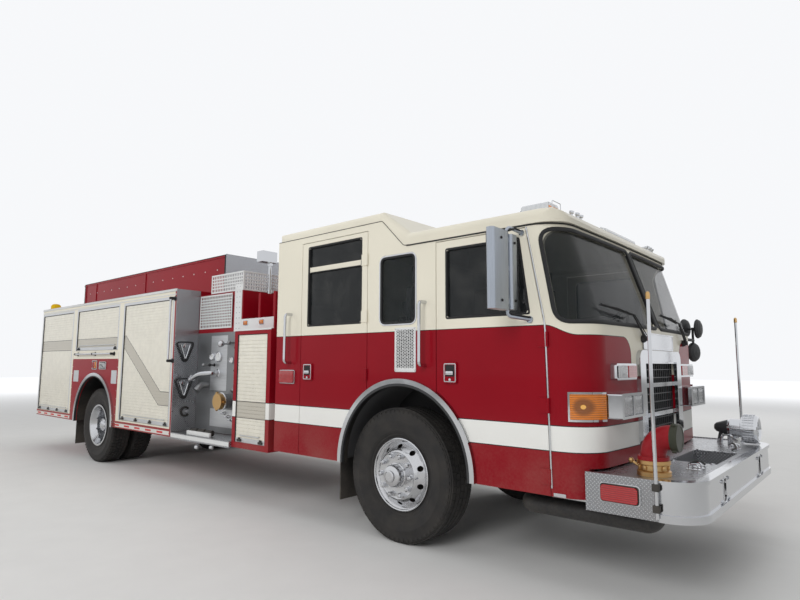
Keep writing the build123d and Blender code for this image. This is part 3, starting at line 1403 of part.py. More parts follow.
def mast_lamp():
    """Sliding pole with a swivel and a rectangular flood lamp head."""
    x = rx(mast_x)
    pole = rod_z(x, mast_y, mast_radius - 0.05, mast_foot_z + 20, mast_head_z)
    head = block(x - 60, x + 60, mast_y - 150, mast_y + 60, mast_head_z, mast_head_z + 130)
    collar = rod_z(x, mast_y, 32, mast_head_z - 40, mast_head_z)
    return [joined([pole, head, collar])]


def write_nodes():
    """Writes one file for each named piece or group of like pieces."""
    nodes = {
        "frame_rails": frame_rails(),
        "front_axle": front_axle(),
        "rear_axle": rear_axle(),
        "engine_and_drive": engine_and_drive(),
        "tank_and_pipes": tank_and_pipes(),
        "cab_floor": cab_floor(),
        "cab_sides": cab_sides(),
        "cab_front": cab_front(),
        "cab_rear_wall": cab_rear_wall(),
        "cab_roof": cab_roof(),
        "cab_glass": cab_glass(),
        "seats": seats(),
        "dashboard": dashboard(),
        "grille": grille(),
        "lamp_housings": lamp_housings(),
        "clear_lenses": clear_lenses(),
        "amber_lenses": amber_lenses(),
        "red_lenses": red_lenses(),
        "light_bar": light_bar(),
        "rails_and_rods": rails_and_rods(),
        "wheel_arch_trim": wheel_arch_trim(),
        "mud_flaps": mud_flaps(),
        "bumper": bumper(),
        "bumper_deck": bumper_deck(),
        "brass_fittings": brass_fittings(),
        "suction_elbow": suction_elbow(),
        "siren": siren(),
        "corner_mirrors": corner_mirrors(),
        "body_sides": body_sides(),
        "body_centre": body_centre(),
        "red_panels": red_panels(),
        "shutters": shutters(),
        "door_frames": door_frames(),
        "hose_bed": hose_bed(),
        "diamond_plates": diamond_plates(),
        "pump_house": pump_house(),
        "pump_panels": pump_panels(),
        "perforated_guards": perforated_guards(),
        "mast_lamp": mast_lamp(),
        "tie_rod": tie_rod(),
    }
    for name, side in (("right", -1), ("left", 1)):
        nodes["front_tyre_" + name] = [wheel_at(front_tyre_solid, front_axle_x, front_track_half,
                                                front_tyre_radius, side)]
        nodes["front_rim_" + name] = [wheel_at(front_rim, front_axle_x, front_track_half, front_tyre_radius,
                                               side)]
        nodes["rear_tyres_" + name] = rear_tyres(side)
        nodes["rear_rims_" + name] = rear_rims(side)
        nodes["knuckle_" + name] = knuckle(side)
        nodes["door_front_" + name] = door_front(side)
        nodes["door_rear_" + name] = door_rear(side)
        nodes["glass_front_" + name] = door_front_glass(side)
        nodes["glass_rear_" + name] = door_rear_glass(side)
        nodes["mirror_" + name] = mirror_arm(side)
    os.makedirs("parts", exist_ok=True)
    for name, shapes in nodes.items():
        solids = [solid for shape in shapes for solid in shape.solids()]
        whole = solids[0] if len(solids) == 1 else Compound(children=solids)
        export_step(whole, f"parts/{name}.step")


write_nodes()
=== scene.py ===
"""Fire engine with a four-door cab: visible pieces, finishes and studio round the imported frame."""
import json
import math
from functools import partialmethod

import bmesh
import bpy
from bpy.props import FloatProperty, FloatVectorProperty, IntProperty, PointerProperty
from mathutils import Matrix, Vector


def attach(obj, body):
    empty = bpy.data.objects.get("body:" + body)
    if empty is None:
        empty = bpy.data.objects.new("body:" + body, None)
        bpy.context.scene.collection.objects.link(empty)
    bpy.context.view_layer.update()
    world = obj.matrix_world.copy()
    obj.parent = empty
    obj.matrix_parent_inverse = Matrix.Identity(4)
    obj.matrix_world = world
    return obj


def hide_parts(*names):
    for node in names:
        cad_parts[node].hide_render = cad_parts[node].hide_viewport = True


bl_info = {
    "name": "Fire engine builder",
    "version": (1, 0, 0),
    "blender": (4, 5, 0),
    "location": "View3D > Sidebar > Fire engine",
    "description": "Builds the visible pieces and finishes of a four-door pumper fire engine",
    "category": "Object",
}

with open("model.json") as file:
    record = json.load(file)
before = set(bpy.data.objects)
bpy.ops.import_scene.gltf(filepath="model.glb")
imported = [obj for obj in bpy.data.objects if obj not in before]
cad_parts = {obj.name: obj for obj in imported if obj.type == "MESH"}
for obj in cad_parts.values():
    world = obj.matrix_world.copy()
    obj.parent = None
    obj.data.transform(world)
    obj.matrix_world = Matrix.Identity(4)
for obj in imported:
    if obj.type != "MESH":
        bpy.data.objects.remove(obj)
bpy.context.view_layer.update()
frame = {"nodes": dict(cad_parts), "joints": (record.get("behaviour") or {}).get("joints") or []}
NODES = frame["nodes"]
JOINTS = {joint["name"]: joint for joint in frame["joints"]}

FRONT_X, _, FRONT_Z = JOINTS["roll_front_right"]["pos_m"]
REAR_X, _, REAR_Z = JOINTS["roll_rear_right"]["pos_m"]
SIDES = (("right", -1), ("left", 1))
WHEEL_BODY = {"front": "front_wheel_", "rear": "rear_wheels_"}

# Planes on which trim sits, in metres from the middle; the last is a height
CAB_SIDE, DOOR_SIDE, LOCK_SIDE, BODY_SIDE, TRAY_SIDE, TRAY_FACE = 1.2195, 1.2192, 1.2335, 1.2495, 0.93, 0.9342
DECK_TOP = 0.766


def fx(distance):
    """X of a point this many millimetres ahead of the front axle."""
    return FRONT_X + distance / 1000


def rx(distance):
    """X of a point this many millimetres ahead of the rear axle."""
    return REAR_X + distance / 1000


# Nodes


def plug(tree, socket, value):
    """Links a socket to another one, or sets it to a plain value."""
    source = getattr(value, "socket", value)
    if isinstance(source, bpy.types.NodeSocket):
        tree.links.new(source, socket)
    else:
        socket.default_value = value


def add_node(tree, kind, settings=None, values=None):
    """Adds a node, applies its settings, then sets or links its sockets."""
    node = tree.nodes.new(kind)
    for key, value in (settings or {}).items():
        setattr(node, key, value)
    for key, value in (values or {}).items():
        plug(tree, node.inputs[key], value)
    return node


class Value:
    """One output socket of a material, with Python's operators as Math nodes."""

    def __init__(self, finish, socket):
        self.finish, self.socket = finish, socket

    def _math(self, operation, *others):
        node = self.finish.add("ShaderNodeMath", {"operation": operation}, dict(enumerate((self, *others))))
        return Value(self.finish, node.outputs[0])

    def __rsub__(self, other):
        node = self.finish.add("ShaderNodeMath", {"operation": "SUBTRACT"}, {0: other, 1: self})
        return Value(self.finish, node.outputs[0])

    __add__ = __radd__ = partialmethod(_math, "ADD")
    __sub__ = partialmethod(_math, "SUBTRACT")
    __mul__ = __rmul__ = partialmethod(_math, "MULTIPLY")
    __truediv__ = partialmethod(_math, "DIVIDE")
    __gt__ = partialmethod(_math, "GREATER_THAN")
    __lt__ = partialmethod(_math, "LESS_THAN")
    __abs__ = partialmethod(_math, "ABSOLUTE")
    sine = partialmethod(_math, "SINE")
    fraction = partialmethod(_math, "FRACT")
    floor = partialmethod(_math, "FLOOR")
    highest = partialmethod(_math, "MAXIMUM")

    def between(self, low, high):
        """1 where the value lies between two limits, otherwise 0."""
        return (self > low) * (self < high)


class Finish:
    """A material made of nodes, ending in one Principled shader."""

    def __init__(self, name, **constants):
        self.material = bpy.data.materials.new(name)
        self.material.use_nodes = True
        self.tree = self.material.node_tree
        self.shader = self.tree.nodes["Principled BSDF"]
        self.wire(**constants)
        self.place = Value(self, self.add("ShaderNodeTexCoord").outputs["Object"])
        self.x, self.y, self.z = self.split(self.place)
        self.facing = Value(self, self.add("ShaderNodeNewGeometry").outputs["Normal"])

    def add(self, kind, settings=None, values=None):
        """Adds a node to the material."""
        return add_node(self.tree, kind, settings, values)

    def split(self, vector):
        """X, Y and Z of a vector."""
        node = self.add("ShaderNodeSeparateXYZ", None, {0: vector})
        return [Value(self, node.outputs[i]) for i in range(3)]

    def join(self, x, y, z):
        """A vector from three values."""
        node = self.add("ShaderNodeCombineXYZ", None, {0: x, 1: y, 2: z})
        return Value(self, node.outputs[0])

    def noise(self, scale, detail=3.0, vector=None, roughness=0.55):
        """Noise from 0 to 1."""
        node = self.add("ShaderNodeTexNoise", None, {"Vector": vector or self.place, "Scale": scale, "Detail": detail,
            "Roughness": roughness})
        return Value(self, node.outputs["Fac"])

    def grade(self, value, low, high):
        """0 below a limit, 1 above another, even in between."""
        node = self.add("ShaderNodeMapRange", {"clamp": True}, {"Value": value, "From Min": low, "From Max": high})
        return Value(self, node.outputs[0])

    def blend(self, share, first, second):
        """Mix of two colours; a colour is a triple or a socket."""
        ready = [c if isinstance(c, Value) else (*c, 1) for c in (first, second)]
        node = self.add("ShaderNodeMix", {"data_type": "RGBA"}, {0: share, 6: ready[0], 7: ready[1]})
        return Value(self, node.outputs[2])

    def bump(self, height, depth, strength):
        """Bump from a height, in metres."""
        node = self.add("ShaderNodeBump", None, {"Height": height, "Distance": depth, "Strength": strength})
        return Value(self, node.outputs[0])

    def wire(self, **sockets):
        """Links sockets of the shader; a plain number or colour is set."""
        for key, value in sockets.items():
            plug(self.tree, self.shader.inputs[key.replace("_", " ")], value)
        return self.material


# Finishes

DUST = (0.36, 0.31, 0.25)
EDGE_BLACK = (0.02, 0.02, 0.025)
COACH = {"Coat_Weight": 0.14, "Coat_Roughness": 0.05, "Coat_IOR": 1.36, "Specular_IOR_Level": 0.1}


def dimmed(colour, share):
    """A colour at a share of its brightness."""
    return tuple(c * share for c in colour)


def road_dust(finish, colour, low=0.45, high=1.25, most=0.35):
    """Lays road dust over a colour, thicker towards the ground and in blotches."""
    height = 1 - finish.grade(finish.z, low, high)
    blotch = finish.grade(finish.noise(2.3, 5.0), 0.35, 0.75)
    grain = finish.grade(finish.noise(60.0, 3.0), 0.3, 0.8)
    share = height * (blotch * 0.7 + grain * 0.3) * most
    return finish.blend(share, colour, DUST), share


def coated(finish, tone, share, rough=0.3, peel=0.25):
    """Ends a coach paint with the roughness of its dust and a faint orange peel."""
    return finish.wire(Base_Color=tone, Roughness=share * 0.9 + rough,
        Normal=finish.bump(finish.noise(420.0, 1.0), 0.0002, peel))


def painted(name, colour, dust=0.3):
    """Gloss coach paint with a clear coat, a faint orange peel and road dust."""
    finish = Finish(name, **COACH)
    tone = finish.blend(finish.grade(finish.noise(1.1, 2.0), 0.3, 0.7), dimmed(colour, 0.9), colour)
    return coated(finish, *road_dust(finish, tone, most=dust))


def bright(name, colour, rough, wear):
    """Polished metal with faint smears and a little haze near the ground."""
    finish = Finish(name, Metallic=1.0)
    smear = finish.grade(finish.noise(9.0, 6.0, roughness=0.7), 0.4, 0.75)
    tone, share = road_dust(finish, colour, most=wear)
    fine = finish.bump(finish.noise(900.0, 1.0), 0.00004, 0.2)
    return finish.wire(Base_Color=tone, Roughness=smear * 0.09 + share * 0.8 + rough, Normal=fine)


def brushed(name, colour, axis="x", rough=0.3):
    """Brushed metal, grained along one axis."""
    finish = Finish(name, Metallic=1.0)
    stretch = {"x": (4, 300, 300), "y": (300, 4, 300), "z": (300, 300, 4)}[axis]
    scaled = finish.join(finish.x * stretch[0], finish.y * stretch[1], finish.z * stretch[2])
    grain = finish.noise(1.0, 4.0, scaled)
    tone = finish.blend(finish.grade(grain, 0.3, 0.7), dimmed(colour, 0.82), colour)
    tone, share = road_dust(finish, tone, most=0.15)
    return finish.wire(Base_Color=tone, Roughness=grain * 0.16 + share * 0.5 + rough,
        Normal=finish.bump(grain, 0.0001, 0.3))


def dull(name, colour, rough, grain=140.0, depth=0.0004, dust=0.35):
    """Matt paint, rubber or plastic with a fine grain and dust."""
    finish = Finish(name)
    texture = finish.noise(grain, 4.0)
    tone = finish.blend(finish.grade(texture, 0.3, 0.7), dimmed(colour, 0.75), colour)
    tone = road_dust(finish, tone, low=0.15, high=1.1, most=dust)[0]
    return finish.wire(Base_Color=tone, Roughness=texture * 0.15 + rough - 0.08,
        Normal=finish.bump(texture, depth, 0.5))


def window_glass(name, tint, alpha):
    """Tinted pane, seen through by its alpha, with a trace of dust."""
    finish = Finish(name, IOR=1.5, Specular_IOR_Level=0.25, Coat_Weight=0.1, Coat_Roughness=0.02)
    haze = finish.grade(finish.noise(5.0, 5.0), 0.45, 0.8)
    tone = finish.blend(haze * 0.1, tint, (0.3, 0.29, 0.27))
    return finish.wire(Base_Color=tone, Alpha=haze * 0.08 + alpha, Roughness=haze * 0.05 + 0.02)


def lens(name, colour, pitch, axis, alpha, painted_glow=0.0, painted_bulb_spot=None):
    """Moulded lens with optical ribs painted in lit and shaded stripes; round a bulb, a point, the lens is painted
    dark as the shade of the reflector behind it, with a painted glint at the bulb; its emission is a faint painted
    glow.
    """
    finish = Finish(name, IOR=1.49, Coat_Weight=1.0, Coat_Roughness=0.03, Specular_IOR_Level=0.5)
    along = {"x": finish.x, "y": finish.y, "z": finish.z}[axis]
    wave = (along * (2 * math.pi / pitch)).sine()
    # Ribs painted as lit and shaded stripes.
    tone = finish.blend(finish.grade(wave, -1, 1), dimmed(colour, 0.55), colour)
    if painted_bulb_spot:
        # Painted shade of the reflector round the bulb, then a painted glint at the bulb itself.
        dx, dz = finish.x - painted_bulb_spot[0], finish.z - painted_bulb_spot[1]
        spread = dx * dx + dz * dz
        tone = finish.blend(finish.grade(spread, 0.0042, 0.0018), tone, dimmed(colour, 0.3))
        tone = finish.blend(spread < 0.0002, tone, (1.0, 0.55, 0.12))
    # The emission is a faint painted glow.
    return finish.wire(Emission_Color=(*colour, 1), Emission_Strength=painted_glow, Base_Color=tone, Alpha=alpha,
        Roughness=0.12, Normal=finish.bump(wave, pitch * 0.12, 0.6))


def cab_paint(name, colours, levels):
    """Cab in two colours split at the belt, which sweeps down round the grille, with a light stripe."""
    finish = Finish(name, **COACH)
    shade = finish.grade(finish.noise(1.1, 2.0), 0.3, 0.7)
    red = finish.blend(shade, dimmed(colours.red, 0.88), colours.red)
    cream = finish.blend(shade, dimmed(colours.cream, 0.95), colours.cream)
    bend, inner = 0.13, 0.595
    sweep = finish.grade(finish.x, fx(1365), fx(1590))
    level = levels.belt - sweep * sweep * (3 - sweep * 2) * 0.071
    beside = (inner + bend - abs(finish.y)).highest(0) * (finish.x > fx(1500))
    above = (finish.z - level + bend).highest(0)
    reach = beside * beside + above * above
    upper = (reach > bend ** 2) * (finish.z > 1.36)
    line = reach.between((bend - 0.005) ** 2, bend ** 2) * (finish.z > 1.36)
    body = finish.blend(upper, red, cream)
    stripe = finish.z.between(levels.stripe_low, levels.stripe_high)
    edge = finish.z.between(levels.stripe_low - 0.006, levels.stripe_high + 0.006) - stripe
    body = finish.blend(stripe, body, colours.stripe)
    body = finish.blend(edge.highest(line), body, EDGE_BLACK)
    # Inside the front wheel arch the paint turns near-black: painted shade of the wheel well.
    along, up = finish.x - fx(90), finish.z - 0.61
    wheel_well_shade = (along * along + up * up < 0.657 ** 2) * (finish.z > 0.61)
    wheel_well_shade = wheel_well_shade.highest((abs(along) < 0.657) * (finish.z < 0.61))
    body = finish.blend(wheel_well_shade, body, (0.012, 0.012, 0.012))
    return coated(finish, *road_dust(finish, body, 0.55, 1.1, 0.3), 0.28)


def shutter_paint(name, colours):
    """Roll-up door paint with the dark-edged beige band that steps down on the front door."""
    finish = Finish(name, Coat_Weight=0.3, Coat_Roughness=0.15)
    shade = finish.grade(finish.noise(14.0, 4.0), 0.3, 0.75)
    base = finish.blend(shade, dimmed(colours.shutter, 0.9), colours.shutter)

    def band(grow):
        high = finish.z.between(1.64 - grow, 1.8 + grow) * (finish.x < rx(900))
        fall = finish.z + finish.x * 0.7 - (rx(900) * 0.7 + 1.64)
        falling = fall.between(-grow * 1.2, 0.185 + grow * 1.2) * (finish.x > rx(900)) * (finish.z > 0.92 - grow)
        foot = finish.z.between(0.92 - grow, 1.08 + grow) * finish.x.between(rx(1930), rx(2293))
        locker = finish.z.between(0.873 - grow, 1.038 + grow) * (finish.x > rx(3500))
        return high.highest(falling).highest(foot).highest(locker)
    mask = band(0)
    tone = finish.blend(band(0.007) - mask, base, (0.03, 0.028, 0.025))
    tone = finish.blend(mask, tone, colours.band)
    tone, share = road_dust(finish, tone, 0.55, 1.6, 0.25)
    return finish.wire(Base_Color=tone, Roughness=share * 0.5 + 0.38)


def locker_paint(name, colours):
    """Red coach paint with the light stripe that carries on from the cab along the locker."""
    finish = Finish(name, **COACH)
    outside = (finish.x > rx(3546)) * (abs(finish.y) > 1.15)
    stripe = finish.z.between(0.879, 1.039) * outside
    edge = finish.z.between(0.873, 1.045) * outside - stripe
    tone = finish.blend(stripe, colours.red, colours.stripe)
    tone = finish.blend(edge.highest(0), tone, EDGE_BLACK)
    return coated(finish, *road_dust(finish, tone, 0.55, 1.1, 0.3))


def tread_plate(name):
    """Bright tread plate: pairs of raised lozenges set crosswise, laid by the way each face looks, painted bright on
    the lozenges and dark between them as painted highlight and shade.
    """
    finish = Finish(name, Metallic=1.0)
    facing = finish.split(finish.facing)
    across, flat = abs(facing[0]), abs(facing[2]) > 0.6
    ahead = (1 - flat) * (across > 0.6)
    u = finish.x * (1 - ahead) + finish.y * ahead
    v = finish.y * flat + finish.z * (1 - flat)
    cell = 0.024
    p, q = (u + v) / cell, (u - v) / cell
    turned = ((p.floor() + q.floor()) * 0.5).fraction() > 0.25
    a, b = p.fraction() - 0.5, q.fraction() - 0.5
    along = a * turned + b * (1 - turned)
    side = b * turned + a * (1 - turned)
    height = (1 - along * along * 5.2 - side * side * 42).highest(0)
    # Painted highlight on the raised lozenges and painted shade on the plate between them.
    tone = finish.blend(height, (0.34, 0.35, 0.37), (0.86, 0.87, 0.89))
    tone, share = road_dust(finish, tone, most=0.3)
    return finish.wire(Base_Color=tone, Roughness=share * 0.6 + 0.24, Normal=finish.bump(height, 0.0022, 1.0))


def two_metals(name, mask_of):
    """Chrome where a mask is 1, dark elsewhere: dark enamel on the grille and siren, painted shade of the wheel well
    on the arch rings.
    """
    finish = Finish(name)
    mask = mask_of(finish)
    tone = finish.blend(mask, (0.025, 0.026, 0.028), (0.62, 0.63, 0.65))
    smear = finish.grade(finish.noise(9.0, 6.0, roughness=0.7), 0.4, 0.75)
    return finish.wire(Base_Color=tone, Metallic=mask, Roughness=smear * 0.08 + 0.42 - mask * 0.34)


def outside_arches(finish):
    """1 on the outer part of the polished rings round the wheel arches; their inner part is painted dark as the shade
    of the wheel well.
    """
    masks = []
    for middle, foot, radius in ((fx(90), 0.61, 0.674), (rx(0), 0.6, 0.652)):
        along, up = finish.x - middle, (finish.z - foot).highest(0)
        masks.append((along * along + up * up > radius ** 2) * (abs(along) < 0.75))
    return masks[0].highest(masks[1])


def two_tone(name, first, second, mask_of):
    """Gloss paint in two colours split by a mask."""
    finish = Finish(name, **COACH)
    tone, share = road_dust(finish, finish.blend(mask_of(finish), first, second), most=0.2)
    return finish.wire(Base_Color=tone, Roughness=share * 0.9 + 0.3)


def pod_cover(name):
    """Moulded lamp pod cover, clear with an amber front end, its ribs painted in lit and shaded stripes."""
    finish = Finish(name, IOR=1.49, Coat_Weight=1.0, Coat_Roughness=0.03)
    wave = (finish.x * (2 * math.pi / 0.01)).sine()
    # Ribs painted as lit and shaded stripes on both colours.
    clear = finish.blend(finish.grade(wave, -1, 1), (0.42, 0.44, 0.47), (0.8, 0.82, 0.85))
    amber = finish.blend(finish.grade(wave, -1, 1), (0.55, 0.13, 0.005), (0.95, 0.3, 0.01))
    share = (finish.x > fx(1361)) * (abs(finish.y) > 0.9) * (finish.z < 2.566)
    return finish.wire(Base_Color=finish.blend(share, clear, amber), Roughness=0.12,
        Normal=finish.bump(wave, 0.001, 0.6))


def tape_paint(name, colours):
    """Body side paint with the red and white warning tape along its lower edge."""
    finish = Finish(name, **COACH)
    tape = finish.z.between(0.57, 0.618)
    red_part = ((finish.x / 0.305).fraction() < 0.5) * finish.z.between(0.582, 0.606)
    strip = finish.blend(red_part, (0.7, 0.69, 0.66), (0.6, 0.02, 0.03))
    tone = finish.blend(finish.z < 0.646, colours.cream, colours.red)
    tone = finish.blend(tape, tone, strip)
    tone = finish.blend(finish.x > rx(2262), tone, colours.red)
    # Inside the rear wheel arch the paint turns near-black: painted shade of the wheel well.
    along, up = finish.x - rx(0), (finish.z - 0.6).highest(0)
    tone = finish.blend(along * along + up * up < 0.643 ** 2, tone, (0.014, 0.014, 0.015))
    return coated(finish, *road_dust(finish, tone, 0.55, 1.1, 0.28), peel=0.2)


def tyre_rubber(name):
    """Tyre rubber, dusty, with fine moulding rings left to the mesh."""
    finish = Finish(name, Specular_IOR_Level=0.4)
    grain = finish.noise(320.0, 4.0)
    patch = finish.grade(finish.noise(7.0, 5.0), 0.35, 0.75)
    tone = finish.blend(patch * 0.45, (0.022, 0.021, 0.021), (0.075, 0.068, 0.06))
    return finish.wire(Base_Color=tone, Roughness=patch * 0.12 + 0.74, Normal=finish.bump(grain, 0.0003, 0.5))


def seat_cloth(name):
    """Woven seat cover."""
    finish = Finish(name, Sheen_Weight=0.3)
    warp = (finish.x * 2400).sine() * (finish.y * 2400).sine()
    weave = finish.grade(warp + (finish.z * 2400).sine() * 0.5, -1, 1)
    tone = finish.blend(weave, (0.03, 0.032, 0.036), (0.075, 0.078, 0.085))
    return finish.wire(Base_Color=tone, Roughness=0.85, Normal=finish.bump(weave, 0.0006, 0.6))


FINISHES = {}


def make_finishes(colours, levels):
    """Builds every material once."""
    FINISHES.update({
        "cab": cab_paint("cab two-tone paint", colours, levels),
        "red": painted("red coach paint", colours.red),
        "cream": painted("cream coach paint", colours.cream),
        "body": tape_paint("body side paint", colours),
        "shutter": shutter_paint("roll-up door paint", colours),
        "chrome": bright("polished chrome", (0.6, 0.61, 0.63), 0.05, 0.1),
        "polished": bright("polished aluminium", (0.63, 0.64, 0.66), 0.13, 0.2),
        "tread": tread_plate("tread plate"),
        "locker": locker_paint("locker paint", colours),
        "white": painted("white enamel", (0.74, 0.75, 0.75), 0.25),
        "ring_black": painted("dark olive enamel", (0.035, 0.04, 0.028), 0.2),
        "mirror_shell": brushed("mirror shell metal", (0.46, 0.5, 0.56), "z", 0.3),
        "mirror_glass": bright("mirror glass", (0.55, 0.57, 0.58), 0.02, 0.05),
        "grille": two_metals("grille metals", lambda f: f.x > fx(1712)),
        # The inner part of the arch rings is painted dark, as shade of the wheel well.
        "arch": two_metals("arch ring metals", outside_arches),
        "siren": two_metals("siren metals", lambda f: (f.x > fx(1990)).highest(f.z < 0.8)),
        "elbow": two_tone("suction elbow paint", colours.red, (0.035, 0.04, 0.028), lambda f: f.x > fx(2084)),
        "satin": brushed("satin aluminium", (0.72, 0.73, 0.74)),
        "steel": brushed("brushed steel panel", (0.33, 0.335, 0.34), "z", 0.34),
        "brass": bright("dull brass", (0.6, 0.38, 0.16), 0.3, 0.25),
        "yellow": painted("yellow beacon dome", (0.75, 0.47, 0.01), 0.1),
        "black": dull("black chassis paint", (0.02, 0.02, 0.021), 0.55),
        "iron": dull("painted iron", (0.035, 0.035, 0.038), 0.6),
        "rubber": dull("black rubber", (0.016, 0.016, 0.017), 0.7, 260.0, 0.0003),
        "plastic": dull("grained trim plastic", (0.045, 0.047, 0.052), 0.62, 500.0, 0.0003, 0.1),
        "liner": dull("grey cab liner", (0.11, 0.11, 0.115), 0.7, 300.0, 0.0003, 0.1),
        "tyre": tyre_rubber("tyre rubber"),
        "cloth": seat_cloth("seat cloth"),
        "glass": window_glass("tinted window", (0.012, 0.014, 0.015), 0.78),
        "screen": window_glass("windscreen", (0.016, 0.022, 0.024), 0.34),
        # The lenses carry painted lit and shaded rib stripes; the amber and red ones a faint painted glow, the amber
        # one painted shade and a glint at its bulb.
        "clear": lens("clear lens", (0.86, 0.88, 0.9), 0.012, "y", 0.55),
        "cover": pod_cover("lamp pod cover"),
        "amber": lens("amber lens", (0.8, 0.22, 0.006), 0.014, "z", 0.97, 0.03, (fx(1612), 1.17)),
        "red_lens": lens("red lens", (0.45, 0.004, 0.008), 0.012, "z", 0.98, 0.02),
    })


NODE_FINISH = {
    "cab": ("cab_sides", "cab_front", "cab_rear_wall", "door_front_right", "door_front_left", "door_rear_right",
            "door_rear_left"),
    "cream": ("cab_roof",),
    "red": ("hose_bed", "pump_house"),
    "locker": ("red_panels",),
    "elbow": ("suction_elbow",),
    "grille": ("grille",),
    "siren": ("siren",),
    "arch": ("wheel_arch_trim",),
    "mirror_shell": ("mirror_right", "mirror_left"),
    "body": ("body_sides",),
    "shutter": ("shutters",),
    "satin": ("door_frames",),
    "white": ("perforated_guards",),
    "chrome": ("bumper", "rails_and_rods", "lamp_housings", "mast_lamp"),
    "polished": ("front_rim_right", "front_rim_left", "rear_rims_right", "rear_rims_left"),
    "tread": ("bumper_deck", "diamond_plates"),
    "steel": ("pump_panels",),
    "brass": ("brass_fittings",),
    "black": ("frame_rails", "tank_and_pipes", "body_centre", "corner_mirrors"),
    "iron": ("front_axle", "rear_axle", "engine_and_drive", "knuckle_right", "knuckle_left", "tie_rod"),
    "rubber": ("mud_flaps",),
    "tyre": ("front_tyre_right", "front_tyre_left", "rear_tyres_right", "rear_tyres_left"),
    "plastic": ("dashboard",),
    "liner": ("cab_floor",),
    "cloth": ("seats",),
    "glass": ("glass_front_right", "glass_front_left", "glass_rear_right", "glass_rear_left"),
    "screen": ("cab_glass",),
    "clear": ("clear_lenses",),
    "cover": ("light_bar",),
    "amber": ("amber_lenses",),
    "red_lens": ("red_lenses",),
}


# Mesh helpers


def mesh_object(name, bm, finish, smooth=None):
    """Turns a bmesh into an object with one finish; smooth is an angle in degrees."""
    bmesh.ops.remove_doubles(bm, verts=bm.verts, dist=0.00001)
    bmesh.ops.recalc_face_normals(bm, faces=bm.faces)
    mesh = bpy.data.meshes.new(name)
    bm.to_mesh(mesh)
    bm.free()
    mesh.materials.append(FINISHES[finish])
    obj = bpy.data.objects.new(name, mesh)
    bpy.context.scene.collection.objects.link(obj)
    if smooth is not None:
        mesh.polygons.foreach_set("use_smooth", [True] * len(mesh.polygons))
        mesh.set_sharp_from_angle(angle=math.radians(smooth))
    return obj


def meshes(count):
    """Empty meshes to build pieces in."""
    return [bmesh.new() for _ in range(count)]


def piece(name, bm, finish, smooth, slot, *replaced, body="chassis"):
    """Turns a bmesh into a piece with its body and the nodes that it stands for; slot is not used."""
    obj = mesh_object(name, bm, finish, smooth)
    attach(obj, body)
    if replaced:
        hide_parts(*replaced)
    return obj


def add_box(bm, low, high, radius=0.0, segments=2):
    """Box between two opposite corners, its edges rounded."""
    low, high = (Vector(list(map(pick, low, high))) for pick in (min, max))
    size = high - low
    matrix = Matrix.Translation((low + high) / 2) @ Matrix.Diagonal((*size, 1))
    made = bmesh.ops.create_cube(bm, size=1, matrix=matrix)
    if radius:
        edges = {edge for vert in made["verts"] for edge in vert.link_edges}
        bmesh.ops.bevel(bm, geom=list(edges), offset=radius, segments=segments, profile=0.5, affect="EDGES",
            clamp_overlap=True)


def frame_at(point, direction):
    """Matrix with its Z along a direction, at a point."""
    return Matrix.Translation(point) @ Vector(direction).to_track_quat("Z", "Y").to_matrix().to_4x4()


def turns(steps):
    """Cosine and sine of each step round a circle."""
    return [(math.cos(a), math.sin(a)) for a in (2 * math.pi * k / steps for k in range(steps))]


def add_turned(bm, profile, point, direction, steps=32, hollow=False):
    """Solid turned about a line from (radius, height) pairs in millimetres; hollow closes the profile on itself."""
    matrix = frame_at(point, direction)
    rings = []
    for radius, height in ((r / 1000, h / 1000) for r, h in profile):
        spots = turns(steps) if radius else [(0, 0)]
        rings.append([bm.verts.new(matrix @ Vector((radius * c, radius * s, height))) for c, s in spots])
    for lower, upper in zip(rings, rings[1:] + rings[:1] if hollow else rings[1:]):
        for i in range(steps):
            j = (i + 1) % steps
            corners = [lower[i % len(lower)], lower[j % len(lower)], upper[j % len(upper)], upper[i % len(upper)]]
            unique = list(dict.fromkeys(corners))
            if len(unique) > 2:
                bm.faces.new(unique)
    for ring in () if hollow else (rings[0], rings[-1]):
        if len(ring) > 2:
            bm.faces.new(ring)


def corner_arc(before, corner, after, bend, steps):
    """Points of a round corner between two straight runs."""
    reach = min(bend, (corner - before).length * 0.49, (after - corner).length * 0.49)
    start = corner + (before - corner).normalized() * reach
    end = corner + (after - corner).normalized() * reach
    return [start * (1 - t) ** 2 + corner * 2 * t * (1 - t) + end * t ** 2
        for t in (k / steps for k in range(steps + 1))]


def rounded_route(points, bend):
    """Points along straight runs with round corners."""
    points = [Vector(p) for p in points]
    arcs = [corner_arc(*three, bend, 6) for three in zip(points, points[1:], points[2:])]
    return [points[0], *(p for arc in arcs for p in arc), points[-1]]


def add_ring_loft(bm, rings, capped=True):
    """Skins rows of points; each row is a closed loop."""
    rows = [[bm.verts.new(p) for p in ring] for ring in rings]
    count = len(rows[0])
    for lower, upper in list(zip(rows, rows[1:])) + ([] if capped else [(rows[-1], rows[0])]):
        for i in range(count):
            j = (i + 1) % count
            bm.faces.new((lower[i], lower[j], upper[j], upper[i]))
    if capped:
        bm.faces.new(rows[0])
        bm.faces.new(rows[-1])


def add_tube(bm, route, radius, sides=12):
    """Closed tube along a route; radius is a number or one for each point."""
    route = [Vector(p) for p in route]
    radii = radius if isinstance(radius, (list, tuple)) else [radius] * len(route)
    rings = []
    across = (route[1] - route[0]).normalized().orthogonal().normalized()
    for i, point in enumerate(route):
        ahead = (route[min(i + 1, len(route) - 1)] - route[max(i - 1, 0)]).normalized()
        across = (across - ahead * across.dot(ahead)).normalized()
        up = ahead.cross(across)
        rings.append([point + (across * c + up * s) * radii[i] for c, s in turns(sides)])
    add_ring_loft(bm, rings)


